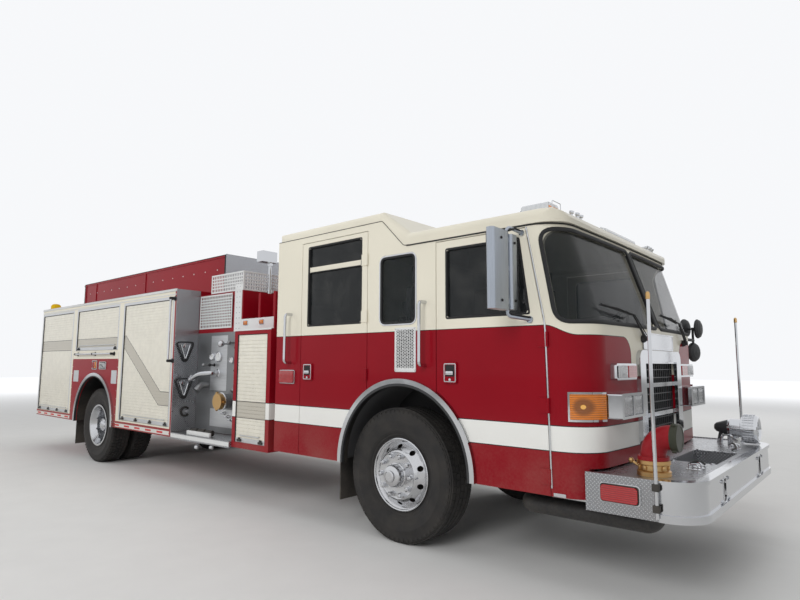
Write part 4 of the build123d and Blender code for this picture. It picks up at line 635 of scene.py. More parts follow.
def mirror_into(bm):
    """Adds the mirror image of all faces on the other side of the vehicle."""
    copy = bmesh.ops.duplicate(bm, geom=bm.verts[:] + bm.edges[:] + bm.faces[:])
    verts = [g for g in copy["geom"] if isinstance(g, bmesh.types.BMVert)]
    faces = [g for g in copy["geom"] if isinstance(g, bmesh.types.BMFace)]
    for vert in verts:
        vert.co.y = -vert.co.y
    bmesh.ops.reverse_faces(bm, faces=faces)


def rounded(points, radius, steps=5):
    """Flat outline with its corners rounded."""
    flat = [Vector((*p, 0)) for p in points]
    arcs = [corner_arc(flat[i - 1], flat[i], flat[(i + 1) % len(flat)], radius, steps) for i in range(len(flat))]
    return [(p.x, p.y) for arc in arcs for p in arc]


def rectangle(u0, u1, v0, v1, radius, steps=5):
    """Rounded rectangle outline."""
    return rounded([(u0, v0), (u1, v0), (u1, v1), (u0, v1)], radius, steps)


def body_box(x0, x1, z0, z1, radius, grow=0.0):
    """Rounded rectangle on a side, its x in millimetres from the rear axle, grown by a distance."""
    return rectangle(rx(x0) - grow, rx(x1) + grow, z0 - grow, z1 + grow, radius)


def grown_outline(points, distance):
    """Outline moved outwards by a distance, inwards if it is negative."""
    flat = [Vector(p) for p in points]
    area = sum(a.x * b.y - b.x * a.y for a, b in zip(flat, flat[1:] + flat[:1]))
    sign = 1 if area > 0 else -1
    moved = []
    for i, point in enumerate(flat):
        before = (point - flat[i - 1]).normalized()
        after = (flat[(i + 1) % len(flat)] - point).normalized()
        first, second = Vector((before.y, -before.x)) * sign, Vector((after.y, -after.x)) * sign
        normal = (first + second).normalized()
        moved.append(tuple(point + normal * distance / max(0.3, normal.dot(first))))
    return moved


def on_side(side, level):
    """Puts flat (x, z) points on a side of the vehicle, a height off the given plane."""
    return lambda p, h: (p[0], side * (level + h), p[1])


def on_front(level):
    """Puts flat (y, z) points on a plane that faces forward."""
    return lambda p, h: (level + h, p[0], p[1])


def add_layers(bm, outline, place, layers, capped=True):
    """Skins a flat outline through (inset, height) pairs."""
    rings = []
    for inset, height in layers:
        rings.append([place(p, height) for p in (grown_outline(outline, -inset) if inset else outline)])
    add_ring_loft(bm, rings, capped)


def add_plate(bm, outline, place, thick, chamfer=0.0015):
    """Flat plate with a small chamfer round its face."""
    add_layers(bm, outline, place, ((0, 0), (0, thick - chamfer), (chamfer, thick)))


def add_frame(bm, outline, place, width, thick, chamfer=0.002):
    """Flat frame round an outline, its edges chamfered."""
    add_layers(bm, outline, place, ((0, 0), (0, thick - chamfer), (chamfer, thick), (width - chamfer, thick),
        (width, thick - chamfer), (width, 0)), False)


def add_bent(bm, route, radius, sides):
    """Tube along (points, bend), straight runs with round corners."""
    add_tube(bm, rounded_route(*route), radius, sides)


def add_lens(bm, box, level, depth, corner):
    """Domed lamp lens on the right side."""
    add_layers(bm, rectangle(*box, corner), on_side(-1, level), depth)


def add_loop(bm, route, radius, sides, flat, normal):
    """Closed tube along a loop, squeezed by flat along the normal at each point."""
    rings = []
    for i, point in enumerate(route):
        ahead = (route[(i + 1) % len(route)] - route[i - 1]).normalized()
        across = ahead.cross(Vector(normal(point))).normalized()
        up = across.cross(ahead).normalized()
        rings.append([point + across * c * radius + up * s * radius * flat for c, s in turns(sides)])
    add_ring_loft(bm, rings, capped=False)


# Geometry Nodes


class Tree:
    """A Geometry Nodes tree with named inputs that ends in one plain mesh of one material."""

    def __init__(self, name, **inputs):
        self.group = bpy.data.node_groups.new(name, "GeometryNodeTree")
        face = self.group.interface
        face.new_socket("Geometry", in_out="INPUT", socket_type="NodeSocketGeometry")
        for label, kind in inputs.items():
            face.new_socket(label.replace("_", " "), in_out="INPUT", socket_type="NodeSocket" + kind)
        face.new_socket("Geometry", in_out="OUTPUT", socket_type="NodeSocketGeometry")
        self.start = self.add("NodeGroupInput")

    def value(self, label):
        """Socket of a named input."""
        return self.start.outputs[label]

    def add(self, kind, settings=None, values=None):
        """Adds a node to the tree."""
        return add_node(self.group, kind, settings, values)

    def maths(self, operation, first, second=0.0):
        """A Math node's result."""
        return self.add("ShaderNodeMath", {"operation": operation}, {0: first, 1: second}).outputs[0]

    def scaled(self, vector, factor):
        """A vector times a number."""
        return self.add("ShaderNodeVectorMath", {"operation": "SCALE"}, {0: vector, "Scale": factor}).outputs[0]

    def total(self, first, second):
        """Sum of two vectors."""
        return self.add("ShaderNodeVectorMath", {"operation": "ADD"}, {0: first, 1: second}).outputs[0]

    def finish(self, points, rotation=None):
        """Puts the input mesh on the points, as plain faces of the material."""
        values = {"Points": points, "Instance": self.value("Geometry")}
        if rotation:
            values["Rotation"] = rotation
        copies = self.add("GeometryNodeInstanceOnPoints", None, values)
        plain = self.add("GeometryNodeRealizeInstances", None, {"Geometry": copies.outputs[0]})
        painted_mesh = self.add("GeometryNodeSetMaterial", None, {"Geometry": plain.outputs[0],
            "Material": self.value("Material")})
        end = self.add("NodeGroupOutput")
        self.group.links.new(painted_mesh.outputs[0], end.inputs[0])
        return self.group


def rows_tree():
    """Copies in rows and columns."""
    tree = Tree("rows and columns", Columns="Int", Rows="Int", Column_step="Vector", Row_step="Vector",
        Material="Material")
    total = tree.maths("MULTIPLY", tree.value("Columns"), tree.value("Rows"))
    line = tree.add("GeometryNodeMeshLine", None, {"Count": total})
    index = tree.add("GeometryNodeInputIndex").outputs[0]
    column = tree.maths("MODULO", index, tree.value("Columns"))
    row = tree.maths("FLOOR", tree.maths("DIVIDE", index, tree.value("Columns")))
    place = tree.total(tree.scaled(tree.value("Column step"), column), tree.scaled(tree.value("Row step"), row))
    points = tree.add("GeometryNodeSetPosition", None, {"Geometry": line.outputs[0], "Position": place})
    return tree.finish(points.outputs[0])


def round_tree():
    """Copies in even steps round an axis."""
    tree = Tree("steps round an axis", Count="Int", Centre="Vector", Axis="Vector", Start="Float", Material="Material")
    line = tree.add("GeometryNodeMeshLine", None, {"Count": tree.value("Count")})
    index = tree.add("GeometryNodeInputIndex").outputs[0]
    share = tree.maths("DIVIDE", index, tree.value("Count"))
    angle = tree.maths("ADD", tree.maths("MULTIPLY", share, 2 * math.pi), tree.value("Start"))
    turn = tree.add("FunctionNodeAxisAngleToRotation", None, {"Axis": tree.value("Axis"), "Angle": angle})
    points = tree.add("GeometryNodeSetPosition", None, {"Geometry": line.outputs[0], "Position": tree.value("Centre")})
    return tree.finish(points.outputs[0], turn.outputs[0])


TREES = {}


def add_copies(bm, unit, tree_name, finish, **values):
    """Runs a tree on a small mesh and adds the result to a piece."""
    if not TREES:
        TREES.update({"rows": rows_tree(), "round": round_tree()})
    group = TREES[tree_name]
    source = mesh_object("unit", unit, finish)
    modifier = source.modifiers.new("Copies", "NODES")
    modifier.node_group = group
    values["Material"] = FINISHES[finish]
    for item in group.interface.items_tree:
        key = item.name.replace(" ", "_")
        if item.in_out == "INPUT" and key in values:
            modifier[item.identifier] = values[key]
    evaluated = source.evaluated_get(bpy.context.evaluated_depsgraph_get())
    mesh = bpy.data.meshes.new_from_object(evaluated)
    source.modifiers.remove(modifier)
    bpy.data.objects.remove(source)
    bm.from_mesh(mesh)
    bpy.data.meshes.remove(mesh)


def add_row(bm, unit, finish, columns, column_step, rows=1, row_step=(0, 0, 0)):
    """Copies of a small mesh in rows and columns."""
    add_copies(bm, unit, "rows", finish, Columns=columns, Rows=rows, Column_step=column_step, Row_step=row_step)


def add_round(bm, unit, finish, count, centre, axis, start=0.0):
    """Copies of a small mesh, drawn about the origin, in steps round an axis."""
    add_copies(bm, unit, "round", finish, Count=count, Centre=centre, Axis=axis, Start=start)


def turned_unit(profile, place, direction, steps):
    """Small turned shape, to be repeated."""
    unit = bmesh.new()
    add_turned(unit, profile, place, direction, steps)
    return unit


def box_unit(low, high, radius, segments=1):
    """Small box, to be repeated."""
    unit = bmesh.new()
    add_box(unit, low, high, radius, segments)
    return unit


def bolt_unit(place, direction, radius, height):
    """Small bolt head with a washer, its radius and height in millimetres."""
    return turned_unit([(radius * 1.35, 0), (radius * 1.35, height * 0.2), (radius, height * 0.2),
                        (radius, height * 0.8), (radius * 0.6, height)], place, direction, 6)


def rivet_unit(place, direction):
    """Small domed rivet."""
    return turned_unit([(6, 0), (5, 2), (0, 3)], place, direction, 8)


# Cab front as a surface

NOSE = {"front": 1735, "bow": 60, "top": 1500, "top_bow": 18, "half": 1220, "corner": 240, "belt": 1715, "drip": 2420}


def nose_plan(s, front, bow):
    """Point of the cab's plan: s is 0 in the middle, 1 where the corner starts and 2 where it ends."""
    half, corner = NOSE["half"], NOSE["corner"]
    big = (half ** 2 + bow ** 2) / (2 * bow)
    cx = front - big + math.sqrt((big - corner) ** 2 - (half - corner) ** 2)
    turn = math.atan2(half - corner, cx - front + big)
    if s <= 1:
        return front - big + big * math.cos(turn * s), big * math.sin(turn * s)
    if s <= 2:
        angle = turn + (math.pi / 2 - turn) * (s - 1)
        return cx + corner * math.cos(angle), half - corner + corner * math.sin(angle)
    return cx - (s - 2) * 1000, half


def nose_at(s, z, off=0.0):
    """Point of the cab's skin at a plan place and a height in metres, off the skin by a distance."""
    t = min(max((z * 1000 - NOSE["belt"]) / (NOSE["drip"] - NOSE["belt"]), 0), 1)
    (x0, y0), (x1, y1) = nose_plan(s, NOSE["front"], NOSE["bow"]), nose_plan(s, NOSE["top"], NOSE["top_bow"])
    x, y = x0 + (x1 - x0) * t, y0 + (y1 - y0) * t
    if off:
        (xa, ya), (xb, yb) = (nose_plan(s + step, NOSE["front"], NOSE["bow"]) for step in (-0.01, 0.01))
        along = Vector((xb - xa, yb - ya)).normalized()
        x += along.y * off * 1000
        y -= along.x * off * 1000
    return Vector((fx(x), y / 1000, z))


def nose_place(axis, value, z):
    """Plan place at which the skin passes an x or y value."""
    low, high = (0.0, 2.0) if axis == "y" else (1.0, 3.2)
    for _ in range(40):
        middle = (low + high) / 2
        point = nose_at(middle, z)
        ahead = point.y < value if axis == "y" else point.x > value
        low, high = (middle, high) if ahead else (low, middle)
    return low


def screen_border(off):
    """Loop along the edge of the left windscreen pane."""
    low, high, radius, small = 1.724, 2.372, 0.105, 0.045
    foot, head, middle = fx(1456), fx(1334), 0.032

    def inner_corner(level, sign):
        spots = []
        for a in (math.pi / 2 * k / 6 for k in range(7)):
            z = level + sign * small * (1 - math.cos(a))
            spots.append(nose_at(nose_place("y", middle + small * (1 - math.sin(a)), z), z, off))
        return spots

    def run(level, first, last, count):
        return [nose_at(first + (last - first) * k / 24, level, off) for k in range(1, count)]
    outer = rounded([(foot + 0.5, low), (foot, low), (head, high), (head + 0.5, high)], radius, 8)[9:27]
    return [*reversed(inner_corner(low, 1)), *run(low, nose_place("y", middle + small, low),
        nose_place("x", foot + radius * 0.95, low), 25), *(nose_at(nose_place("x", x, z), z, off) for x, z in outer),
        *run(high, nose_place("x", head + radius * 0.95, high), nose_place("y", middle + small, high), 24),
        *inner_corner(high, -1)]


# Wheels

TYRES = (("front", FRONT_X, FRONT_Z, (1.003,), 0.54, 0.1575), ("rear", REAR_X, REAR_Z, (1.05, 0.72), 0.53, 0.14))


class TyreSettings(bpy.types.PropertyGroup):
    """Tread of all tyres."""

    steps: IntProperty(name="Tread steps", description="Tread blocks round the tyre", default=64, min=24)
    depth: FloatProperty(name="Tread depth", description="Depth of the tread", default=0.013, unit="LENGTH")
    front_gap: FloatProperty(name="Front cut", description="Width of the cuts across the front tread", default=0.004,
        unit="LENGTH")
    rear_gap: FloatProperty(name="Rear cut", description="Width of the cuts across the rear tread", default=0.011,
        unit="LENGTH")


def add_tyre(bm, centre, side, radius, half, gap, s):
    """One tyre: moulded carcass of revolution with tread blocks and shoulder ribs."""
    x, y, z = centre
    crown, base, bulge = half - 0.03, radius - s.depth, (0.299 + radius) / 2
    wall = [(0.2895, 0.078), (0.2895, 0.103), (0.306, 0.106), (0.312, 0.113), (0.322, 0.118), (0.328, 0.119),
        (0.335, 0.127), (0.35, 0.136), (0.356, 0.1395), (0.36, 0.1395), (0.366, 0.1405)]
    wall = [(r, w + (half - 0.1575) * min(1, (r - 0.306) / 0.05 if r > 0.306 else 0)) for r, w in wall]
    wall += [(bulge - 0.02, half - 0.003), (bulge + 0.012, half), (bulge + 0.016, half + 0.0015),
        (bulge + 0.022, half + 0.0015), (bulge + 0.026, half - 0.0005), (radius - 0.062, half - 0.006),
        (radius - 0.036, half - 0.012), (radius - 0.026, crown + 0.016), (base, crown + 0.004)]
    profile = [(r * 1000, w * 1000) for r, w in wall + [(r, -w) for r, w in reversed(wall)]]
    add_turned(bm, profile, (x, side * y, z), (0, side, 0), 96, hollow=True)
    pitch = 2 * math.pi * radius / s.steps
    unit = bmesh.new()
    ribs = 5
    width = (2 * crown + 0.006) / ribs
    for i in range(ribs):
        y0 = -crown - 0.003 + i * width
        shift = (0.25 * pitch if i % 2 else 0)
        add_box(unit, (shift - (pitch - gap) / 2, y0 + 0.0045, base - 0.004),
            (shift + (pitch - gap) / 2, y0 + width - 0.0045, radius))
    for k in (-1, 1):
        low, high = sorted((k * (half - 0.02), k * (half - 0.009)))
        add_box(unit, (-0.012, low, radius - 0.052), (0.012, high, radius - 0.022))
    add_round(bm, unit, "tyre", s.steps, (x, side * y, z), (0, 1, 0))


class FIREENGINE_OT_tyres(bpy.types.Operator):
    """Build all tyres with their tread"""

    bl_idname = "fireengine.tyres"
    bl_label = "Tyres"

    def execute(self, context):
        s = context.scene.engine_tyres
        for axle, x, z, planes, radius, half in TYRES:
            for word, side in SIDES:
                bm = bmesh.new()
                for y in planes:
                    add_tyre(bm, (x, y, z), side, radius, half, s.front_gap if axle == "front" else s.rear_gap, s)
                name = f"front_tyre_{word}" if axle == "front" else f"rear_tyres_{word}"
                piece(f"{name}_tread", bm, "tyre", 38, "tyre", name, body=WHEEL_BODY[axle] + word)
        return {"FINISHED"}


def holed_sector(side, half_angle, r0, r1, h0, h1, hole, thick):
    """One sector of a coned wheel disc with an oval hand hole, drawn about the origin."""
    unit = bmesh.new()
    steps, middle = 32, (r0 + r1) / 2
    loops = []
    for depth in (0, thick):
        edge, rim = [], []
        for c, s in turns(steps):
            big = max(abs(c), abs(s))
            for loop, r, a in ((edge, middle + (r1 - r0) / 2 * c / big, half_angle * s / big),
                    (rim, middle + hole[0] * c, hole[1] / middle * s)):
                h = h0 + (h1 - h0) * (r - r0) / (r1 - r0) - depth
                loop.append(unit.verts.new((r * math.cos(a), side * h, r * math.sin(a))))
        loops.append((edge, rim))
    (edge, rim), (low_edge, low_rim) = loops
    for first, second in ((edge, rim), (rim, low_rim), (low_rim, low_edge)):
        for k in range(steps):
            j = (k + 1) % steps
            unit.faces.new((first[k], first[j], second[j], second[k]))
    return unit


class FIREENGINE_OT_front_rims(bpy.types.Operator):
    """Build the domed front wheels with their hand holes and hubs"""

    bl_idname = "fireengine.front_rims"
    bl_label = "Front rims"

    def execute(self, context):
        well = [(289.5, 103), (292.5, 110), (292.5, 119), (286, 123), (279, 119), (275, 108), (262, 100), (255, 92),
            (250, 88), (250, -100), (262, -120), (289.5, -120), (289.5, -100), (262, -90), (262, 80), (289.5, 90)]
        hub = [(200, 138), (200, 150), (192, 158), (186, 161.5), (182, 160), (178, 158.5), (100, 158.5), (98, 166),
            (90, 170), (88, 215), (80, 228), (62, 236), (48, 239), (46, 252), (38, 258), (0, 259)]
        for word, side in SIDES:
            centre, out = (FRONT_X, side * 1.003, FRONT_Z), (0, side, 0)
            bm, drum, body = bmesh.new(), bmesh.new(), f"front_wheel_{word}"
            add_turned(bm, well, centre, out, 64, hollow=True)
            add_turned(bm, hub, centre, out, 48)
            unit = holed_sector(side, math.pi / 10, 0.2, 0.252, 0.15, 0.09, (0.0175, 0.0225), 0.012)
            add_round(bm, unit, "polished", 10, centre, (0, 1, 0), math.pi / 10)
            add_round(bm, bolt_unit((0.094, side * 0.166, 0), out, 6, 10), "polished", 8, centre, (0, 1, 0), 0.2)
            add_turned(drum, [(246, -90), (246, 50), (200, 60), (0, 60)], centre, out, 40)
            piece(f"domed_front_rim_{word}", bm, "polished", 30, "bright_metal", f"front_rim_{word}", body=body)
            piece(f"front_drum_{word}", drum, "black", 40, "black_metal", body=body)
        return {"FINISHED"}


class FIREENGINE_OT_wheel_trim(bpy.types.Operator):
    """Build the wheel nuts, the hub caps and the valve stems"""

    bl_idname = "fireengine.wheel_trim"
    bl_label = "Wheel nuts and hub caps"

    def execute(self, context):
        for axle, x, z, disc, cap in (("front", FRONT_X, FRONT_Z, 1.1615, None),
                ("rear", REAR_X, REAR_Z, 0.899, 1.0955)):
            for word, side in SIDES:
                bm, nut, out = bmesh.new(), bmesh.new(), (0, side, 0)
                add_turned(nut, [(25, -1), (25, 6), (19.5, 7), (19.5, 36), (13, 44), (0, 46)], (0.158, 0, 0), out, 6)
                add_round(bm, nut, "chrome", 10, (x, side * disc, z), (0, 1, 0))
                if cap:
                    add_turned(bm, [(91, -4), (91, 4), (86, 12), (60, 18), (56, 22), (52, 30), (30, 36), (0, 37)],
                        (x, side * cap, z), out, 40)
                    add_round(bm, bolt_unit((0.074, 0, 0.0), out, 6.5, 12), "chrome", 8, (x, side * (cap + 0.014), z),
                        (0, 1, 0), 0.2)
                add_tube(bm, [(x + 0.215, side * (disc - 0.01), z), (x + 0.225, side * (disc + 0.05), z)], 0.005, 8)
                piece(f"{axle}_wheel_trim_{word}", bm, "chrome", 35, "bright_metal", body=WHEEL_BODY[axle] + word)
        return {"FINISHED"}


# Cab front


class FIREENGINE_OT_screen_trim(bpy.types.Operator):
    """Build the windscreen gasket, the centre pillar and the roof seam seal"""

    bl_idname = "fireengine.screen_trim"
    bl_label = "Windscreen gasket"

    def execute(self, context):
        bm = bmesh.new()
        add_loop(bm, screen_border(0.004), 0.015, 10, 0.55, lambda p: (p.x - fx(1200), p.y * 0.6, 0))
        mirror_into(bm)
        rings = []
        for k in range(13):
            base = nose_at(0, 1.735 + (2.362 - 1.735) * k / 12)
            rings.append([base + Vector((dx, dy, 0)) for dx, dy in ((-0.017, -0.0335), (0.004, -0.0335),
                (0.009, -0.024), (0.009, 0.024), (0.004, 0.0335), (-0.017, 0.0335))])
        add_ring_loft(bm, rings)
        seam = [nose_at(2 - 2 * k / 30, 2.413, 0.005) for k in range(31)]
        seam = [Vector((fx(150), 1.2235, 2.4145)), Vector((fx(700), 1.2235, 2.4145))] + seam
        seam += [Vector((p.x, -p.y, p.z)) for p in reversed(seam[:-1])]
        add_tube(bm, seam, 0.0048, 8)
        for y in (-1.2215, 1.2215):
            step = [(fx(x), y, z) for x, z in ((-1556, 2.666), (-127, 2.666), (118, 2.42), (200, 2.42))]
            add_bent(bm, (step, 0.02), 0.0028, 6)
        piece("screen_gasket", bm, "rubber", 40, "rubber")
        return {"FINISHED"}


class FIREENGINE_OT_wipers(bpy.types.Operator):
    """Build both windscreen wipers"""

    bl_idname = "fireengine.wipers"
    bl_label = "Wipers"

    def execute(self, context):
        bm = bmesh.new()
        for shift in (0.0, 1.12):
            def spot(y, z, off):
                y += shift
                s = nose_place("y", abs(y), z)
                point = nose_at(s, z, off)
                return Vector((point.x, math.copysign(point.y, y), z))
            pivot, knee = spot(-0.375, 1.632, 0.03), spot(-0.585, 1.8, 0.05)
            tail, tip = spot(-0.515, 1.805, 0.032), spot(-1.02 if not shift else -0.99, 1.845, 0.032)
            add_turned(bm, [(28, 0), (28, 20), (18, 34), (18, 45), (0, 48)], spot(-0.375, 1.632, -0.002), (1, 0, 0.1),
                16)
            add_tube(bm, [pivot, pivot.lerp(knee, 0.25), knee], [0.014, 0.009, 0.006], 8)
            add_tube(bm, [pivot + Vector((0, 0.02, 0.03)), knee + Vector((0, 0.035, 0))], 0.004, 6)
            route = [tail.lerp(tip, k / 12) + Vector((0.006 * math.sin(math.pi * k / 12), 0, 0)) for k in range(13)]
            add_tube(bm, route, 0.007, 6)
            for k in (3, 9):
                add_tube(bm, [knee.lerp(route[6], 0.2), route[6].lerp(route[k], 0.5) + Vector((0.02, 0, 0)), route[k]],
                    0.004, 6)
            low = [p + Vector((-0.014, 0, -0.004)) for p in route]
            add_tube(bm, low, 0.0045, 6)
        piece("wipers", bm, "rubber", 40, "rubber")
        return {"FINISHED"}


# Forward lamps on the left in millimetres: y0, y1, z0, z1, back and face
HEAD_LAMPS = ((640, 815, 1108, 1237, 1776, 1800), (830, 1005, 1108, 1237, 1776, 1800),
    (750, 925, 1352, 1436, 1727, 1750))


class FIREENGINE_OT_head_lamps(bpy.types.Operator):
    """Build the reflectors, bulbs and thin glasses of the forward lamps"""

    bl_idname = "fireengine.head_lamps"
    bl_label = "Head lamps"

    def execute(self, context):
        reflectors, glasses = meshes(2)
        for y0, y1, z0, z1, back, face in HEAD_LAMPS:
            y0, y1, z0, z1 = (v / 1000 for v in (y0 + 1, y1 - 1, z0 + 1, z1 - 1))
            outline, mid_y, mid_z = rectangle(y0, y1, z0, z1, 0.014, 4), (y0 + y1) / 2, (z0 + z1) / 2
            deep = (face - back) / 1000 - 0.003

            def shrunk(x, share):
                return [(fx(face) + x, mid_y + (y - mid_y) * share, mid_z + (z - mid_z) * share) for y, z in outline]
            shares = [1 - k / 6.6 for k in range(7)]
            add_ring_loft(reflectors, [shrunk(-0.004 - deep * (1 - share ** 2), share) for share in shares], False)
            add_turned(reflectors, [(12, 0), (11, 9), (6, 14), (0, 15)], (fx(face) - 0.004 - deep, mid_y, mid_z),
                (1, 0, 0), 16)
            crown = ((-0.003, 1), (0.0, 0.985), (0.002, 0.9), (0.004, 0.6), (0.005, 0.2))
            add_ring_loft(glasses, [shrunk(x, share) for x, share in crown])
        mirror_into(reflectors)
        mirror_into(glasses)
        piece("lamp_reflectors", reflectors, "chrome", 30, "bright_metal")
        piece("lamp_glasses", glasses, "clear", 40, "clear_lens", "clear_lenses")
        return {"FINISHED"}


class FIREENGINE_OT_nose_trim(bpy.types.Operator):
    """Build the grille backing and the blank plate over it"""

    bl_idname = "fireengine.nose_trim"
    bl_label = "Nose trim"

    def execute(self, context):
        bm, plate, columns = bmesh.new(), bmesh.new(), 52
        for i in range(columns):
            y = -0.392 + 0.784 * (i + 0.5) / columns
            add_box(bm, (fx(1640), y - 0.0012, 0.905), (fx(1668), y + 0.0012, 1.468))
        add_box(bm, (fx(1636), -0.396, 0.902), (fx(1640), 0.396, 1.472))
        piece("radiator_core", bm, "black", None, "black_metal")
        base = rectangle(-0.37, 0.37, 1.555, 1.684, 0.012, 3)

        def bowed(p, h):
            return (nose_at(0, p[1]).x + h - 0.0058 * (p[0] / 0.37) ** 2, p[0], p[1])
        add_layers(plate, base, bowed, ((0, -0.006), (0, 0.006), (0, 0.007)))
        add_layers(plate, base, bowed, ((0, 0.006), (0.001, 0.01), (0.01, 0.01), (0.012, 0.006)), False)
        piece("blank_nose_plate", plate, "polished", 30, "bright_metal")
        return {"FINISHED"}


class FIREENGINE_OT_cab_trim(bpy.types.Operator):
    """Build the window frames, the seam mouldings, the door locks and the step edges of the cab"""

    bl_idname = "fireengine.cab_trim"
    bl_label = "Cab trim"

    def execute(self, context):
        front = [(fx(545), 1.787), (fx(1262), 1.787), (fx(1190), 2.335), (fx(545), 2.335)]
        rear = [(fx(-1093), 1.793), (fx(-368), 1.793), (fx(-368), 2.56), (fx(-1093), 2.56)]
        middle = [(fx(-140), 1.774), (fx(240), 1.774), (fx(240), 2.34), (fx(-140), 2.34)]
        for word, side in SIDES:
            for name, outline, body in (("front", front, f"front_door_{word}"), ("rear", rear, f"rear_door_{word}"),
                    ("middle", middle, "chassis")):
                bm, seal = meshes(2)
                if name == "middle":
                    shape = grown_outline(rounded(outline, 0.055, 7), 0.016)
                    add_frame(bm, shape, on_side(side, CAB_SIDE), 0.013, 0.006)
                    add_frame(seal, grown_outline(shape, -0.012), on_side(side, 1.2), 0.018, 0.0215)
                else:
                    shape = grown_outline(rounded(outline, 0.016, 3), 0.003)
                    add_frame(seal, shape, on_side(side, DOOR_SIDE), 0.014, 0.0022, 0.001)
                    add_frame(seal, grown_outline(shape, -0.002), on_side(side, 1.199), 0.016, 0.0205)
                if name == "rear":
                    add_box(seal, (fx(-1090), side * 1.203, 2.305), (fx(-371), side * CAB_SIDE, 2.312))
                if name != "middle":
                    x, z = (fx(528), 1.297) if name == "front" else (fx(-1127), 1.285)
                    add_frame(bm, rectangle(x + 0.006, x + 0.117, z + 0.008, z + 0.15, 0.012),
                        on_side(side, LOCK_SIDE), 0.008, 0.003, 0.001)
                    add_plate(seal, rectangle(x + 0.02, x + 0.104, z + 0.05, z + 0.138, 0.01),
                        on_side(side, LOCK_SIDE), 0.002, 0.001)
                    add_box(bm, (x + 0.028, side * 1.2345, z + 0.062), (x + 0.096, side * 1.248, z + 0.092), 0.005, 3)
                    add_turned(bm, [(11, 0), (11, 4), (8, 6), (0, 6)], (x + 0.062, side * LOCK_SIDE, z + 0.026),
                        (0, side, 0), 20)
                piece(f"{name}_window_frame_{word}", bm, "polished", 35, "bright_metal", body=body)
                piece(f"{name}_window_seal_{word}", seal, "rubber", 35, "rubber", body=body)
        bm = bmesh.new()
        seam = [Vector((fx(x + 13), -1.2235, z / 1000)) for x, z in ((1235, 2398), (1300, 2051), (1362, 1715),
            (1371, 1300), (1384, 640))]
        add_bent(bm, (seam, 0.08), 0.0065, 8)
        add_box(bm, (fx(1405), -1.2225, 0.59), (fx(1490), -CAB_SIDE, 0.612), 0.001, 1)
        add_frame(bm, rectangle(fx(-1482), fx(-1253), 1.247, 1.38, 0.016), on_side(-1, CAB_SIDE), 0.009, 0.016)
        mirror_into(bm)
        piece("door_seam_mouldings", bm, "polished", 40, "bright_metal")
        return {"FINISHED"}


def add_strip(bm, first, second, half, place, thick):
    """Flat strip between two points of a plane."""
    along = (Vector(second) - Vector(first)).normalized()
    across = Vector((-along.y, along.x)) * half
    corners = [Vector(first) + across, Vector(second) + across, Vector(second) - across, Vector(first) - across]
    add_ring_loft(bm, [[place(p, h) for p in corners] for h in (0, thick)])


class FIREENGINE_OT_side_vents(bpy.types.Operator):
    """Build the framed diamond mesh vents beside the middle windows, on black plates that stand in as painted shade
    behind the mesh
    """

    bl_idname = "fireengine.side_vents"
    bl_label = "Side vents"

    def execute(self, context):
        columns, rows = 5, 14
        x0, x1, z0, z1 = fx(42), fx(232), 1.406, 1.72
        wide, high = (x1 - x0) / columns, (z1 - z0) / rows
        pale, dark = meshes(2)
        for side in (-1, 1):
            # Black plate under the mesh: painted shade of the vent's inside.
            add_plate(dark, rectangle(x0 - 0.004, x1 + 0.004, z0 - 0.004, z1 + 0.004, 0.004), on_side(side, DOOR_SIDE),
                0.0025)
            add_frame(pale, rectangle(fx(25), fx(249), 1.376, 1.737, 0.012), on_side(side, DOOR_SIDE), 0.018, 0.007)
            add_plate(pale, rectangle(fx(40), fx(234), 1.39, 1.408, 0.002), on_side(side, DOOR_SIDE), 0.006)
            unit = bmesh.new()
            place = on_side(side, 1.2214)
            for low, top in ((z0, z0 + high), (z0 + high, z0)):
                add_strip(unit, (x0, low), (x0 + wide, top), 0.0036, place, 0.003)
            add_row(pale, unit, "white", columns, (wide, 0, 0), rows, (0, 0, high))
        piece("side_vent_mesh", pale, "white", 35, "guard_metal")
        piece("side_vent_backs", dark, "black", 35, "black_metal")
        return {"FINISHED"}


class FIREENGINE_OT_guards(bpy.types.Operator):
    """Build the perforated guards over the pump house"""

    bl_idname = "fireengine.guards"
    bl_label = "Perforated guards"

    def execute(self, context):
        bm = bmesh.new()
        pitch, half = 0.036, 0.0075
        fence = (rx(2560), rx(3250), 2.3, 2.53)
        screen = (rx(2315), rx(3028), 1.865, 2.285)
        panels = [(box, on_side(side, TRAY_SIDE)) for box in (fence, screen) for side in (-1, 1)]
        panels.append(((-TRAY_SIDE, TRAY_SIDE, 2.3, 2.53), on_front(rx(3242))))
        for (u0, u1, v0, v1), place in panels:
            add_frame(bm, [(u0, v0), (u1, v0), (u1, v1), (u0, v1)], place, 0.02, 0.008)
            columns, rows = round((u1 - u0 - 0.04) / pitch), round((v1 - v0 - 0.04) / pitch)
            wide, high = (u1 - u0 - 0.04) / columns, (v1 - v0 - 0.04) / rows
            for start, count, step, low, top in (((u0 + 0.02, v0), columns - 1, (wide, 0), v0 + 0.01, v1 - 0.01),
                    ((u0, v0 + 0.02), rows - 1, (0, high), u0 + 0.01, u1 - 0.01)):
                unit = bmesh.new()
                first = (start[0] + step[0], low) if step[0] else (low, start[1] + step[1])
                last = (first[0], top) if step[0] else (top, first[1])
                add_strip(unit, first, last, half, place, 0.004 if step[0] else 0.0055)
                ahead = Vector(place(step, 0)) - Vector(place((0, 0), 0))
                add_row(bm, unit, "white", count, ahead)
        piece("perforated_guard_mesh", bm, "white", 35, "guard_metal", "perforated_guards")
        return {"FINISHED"}


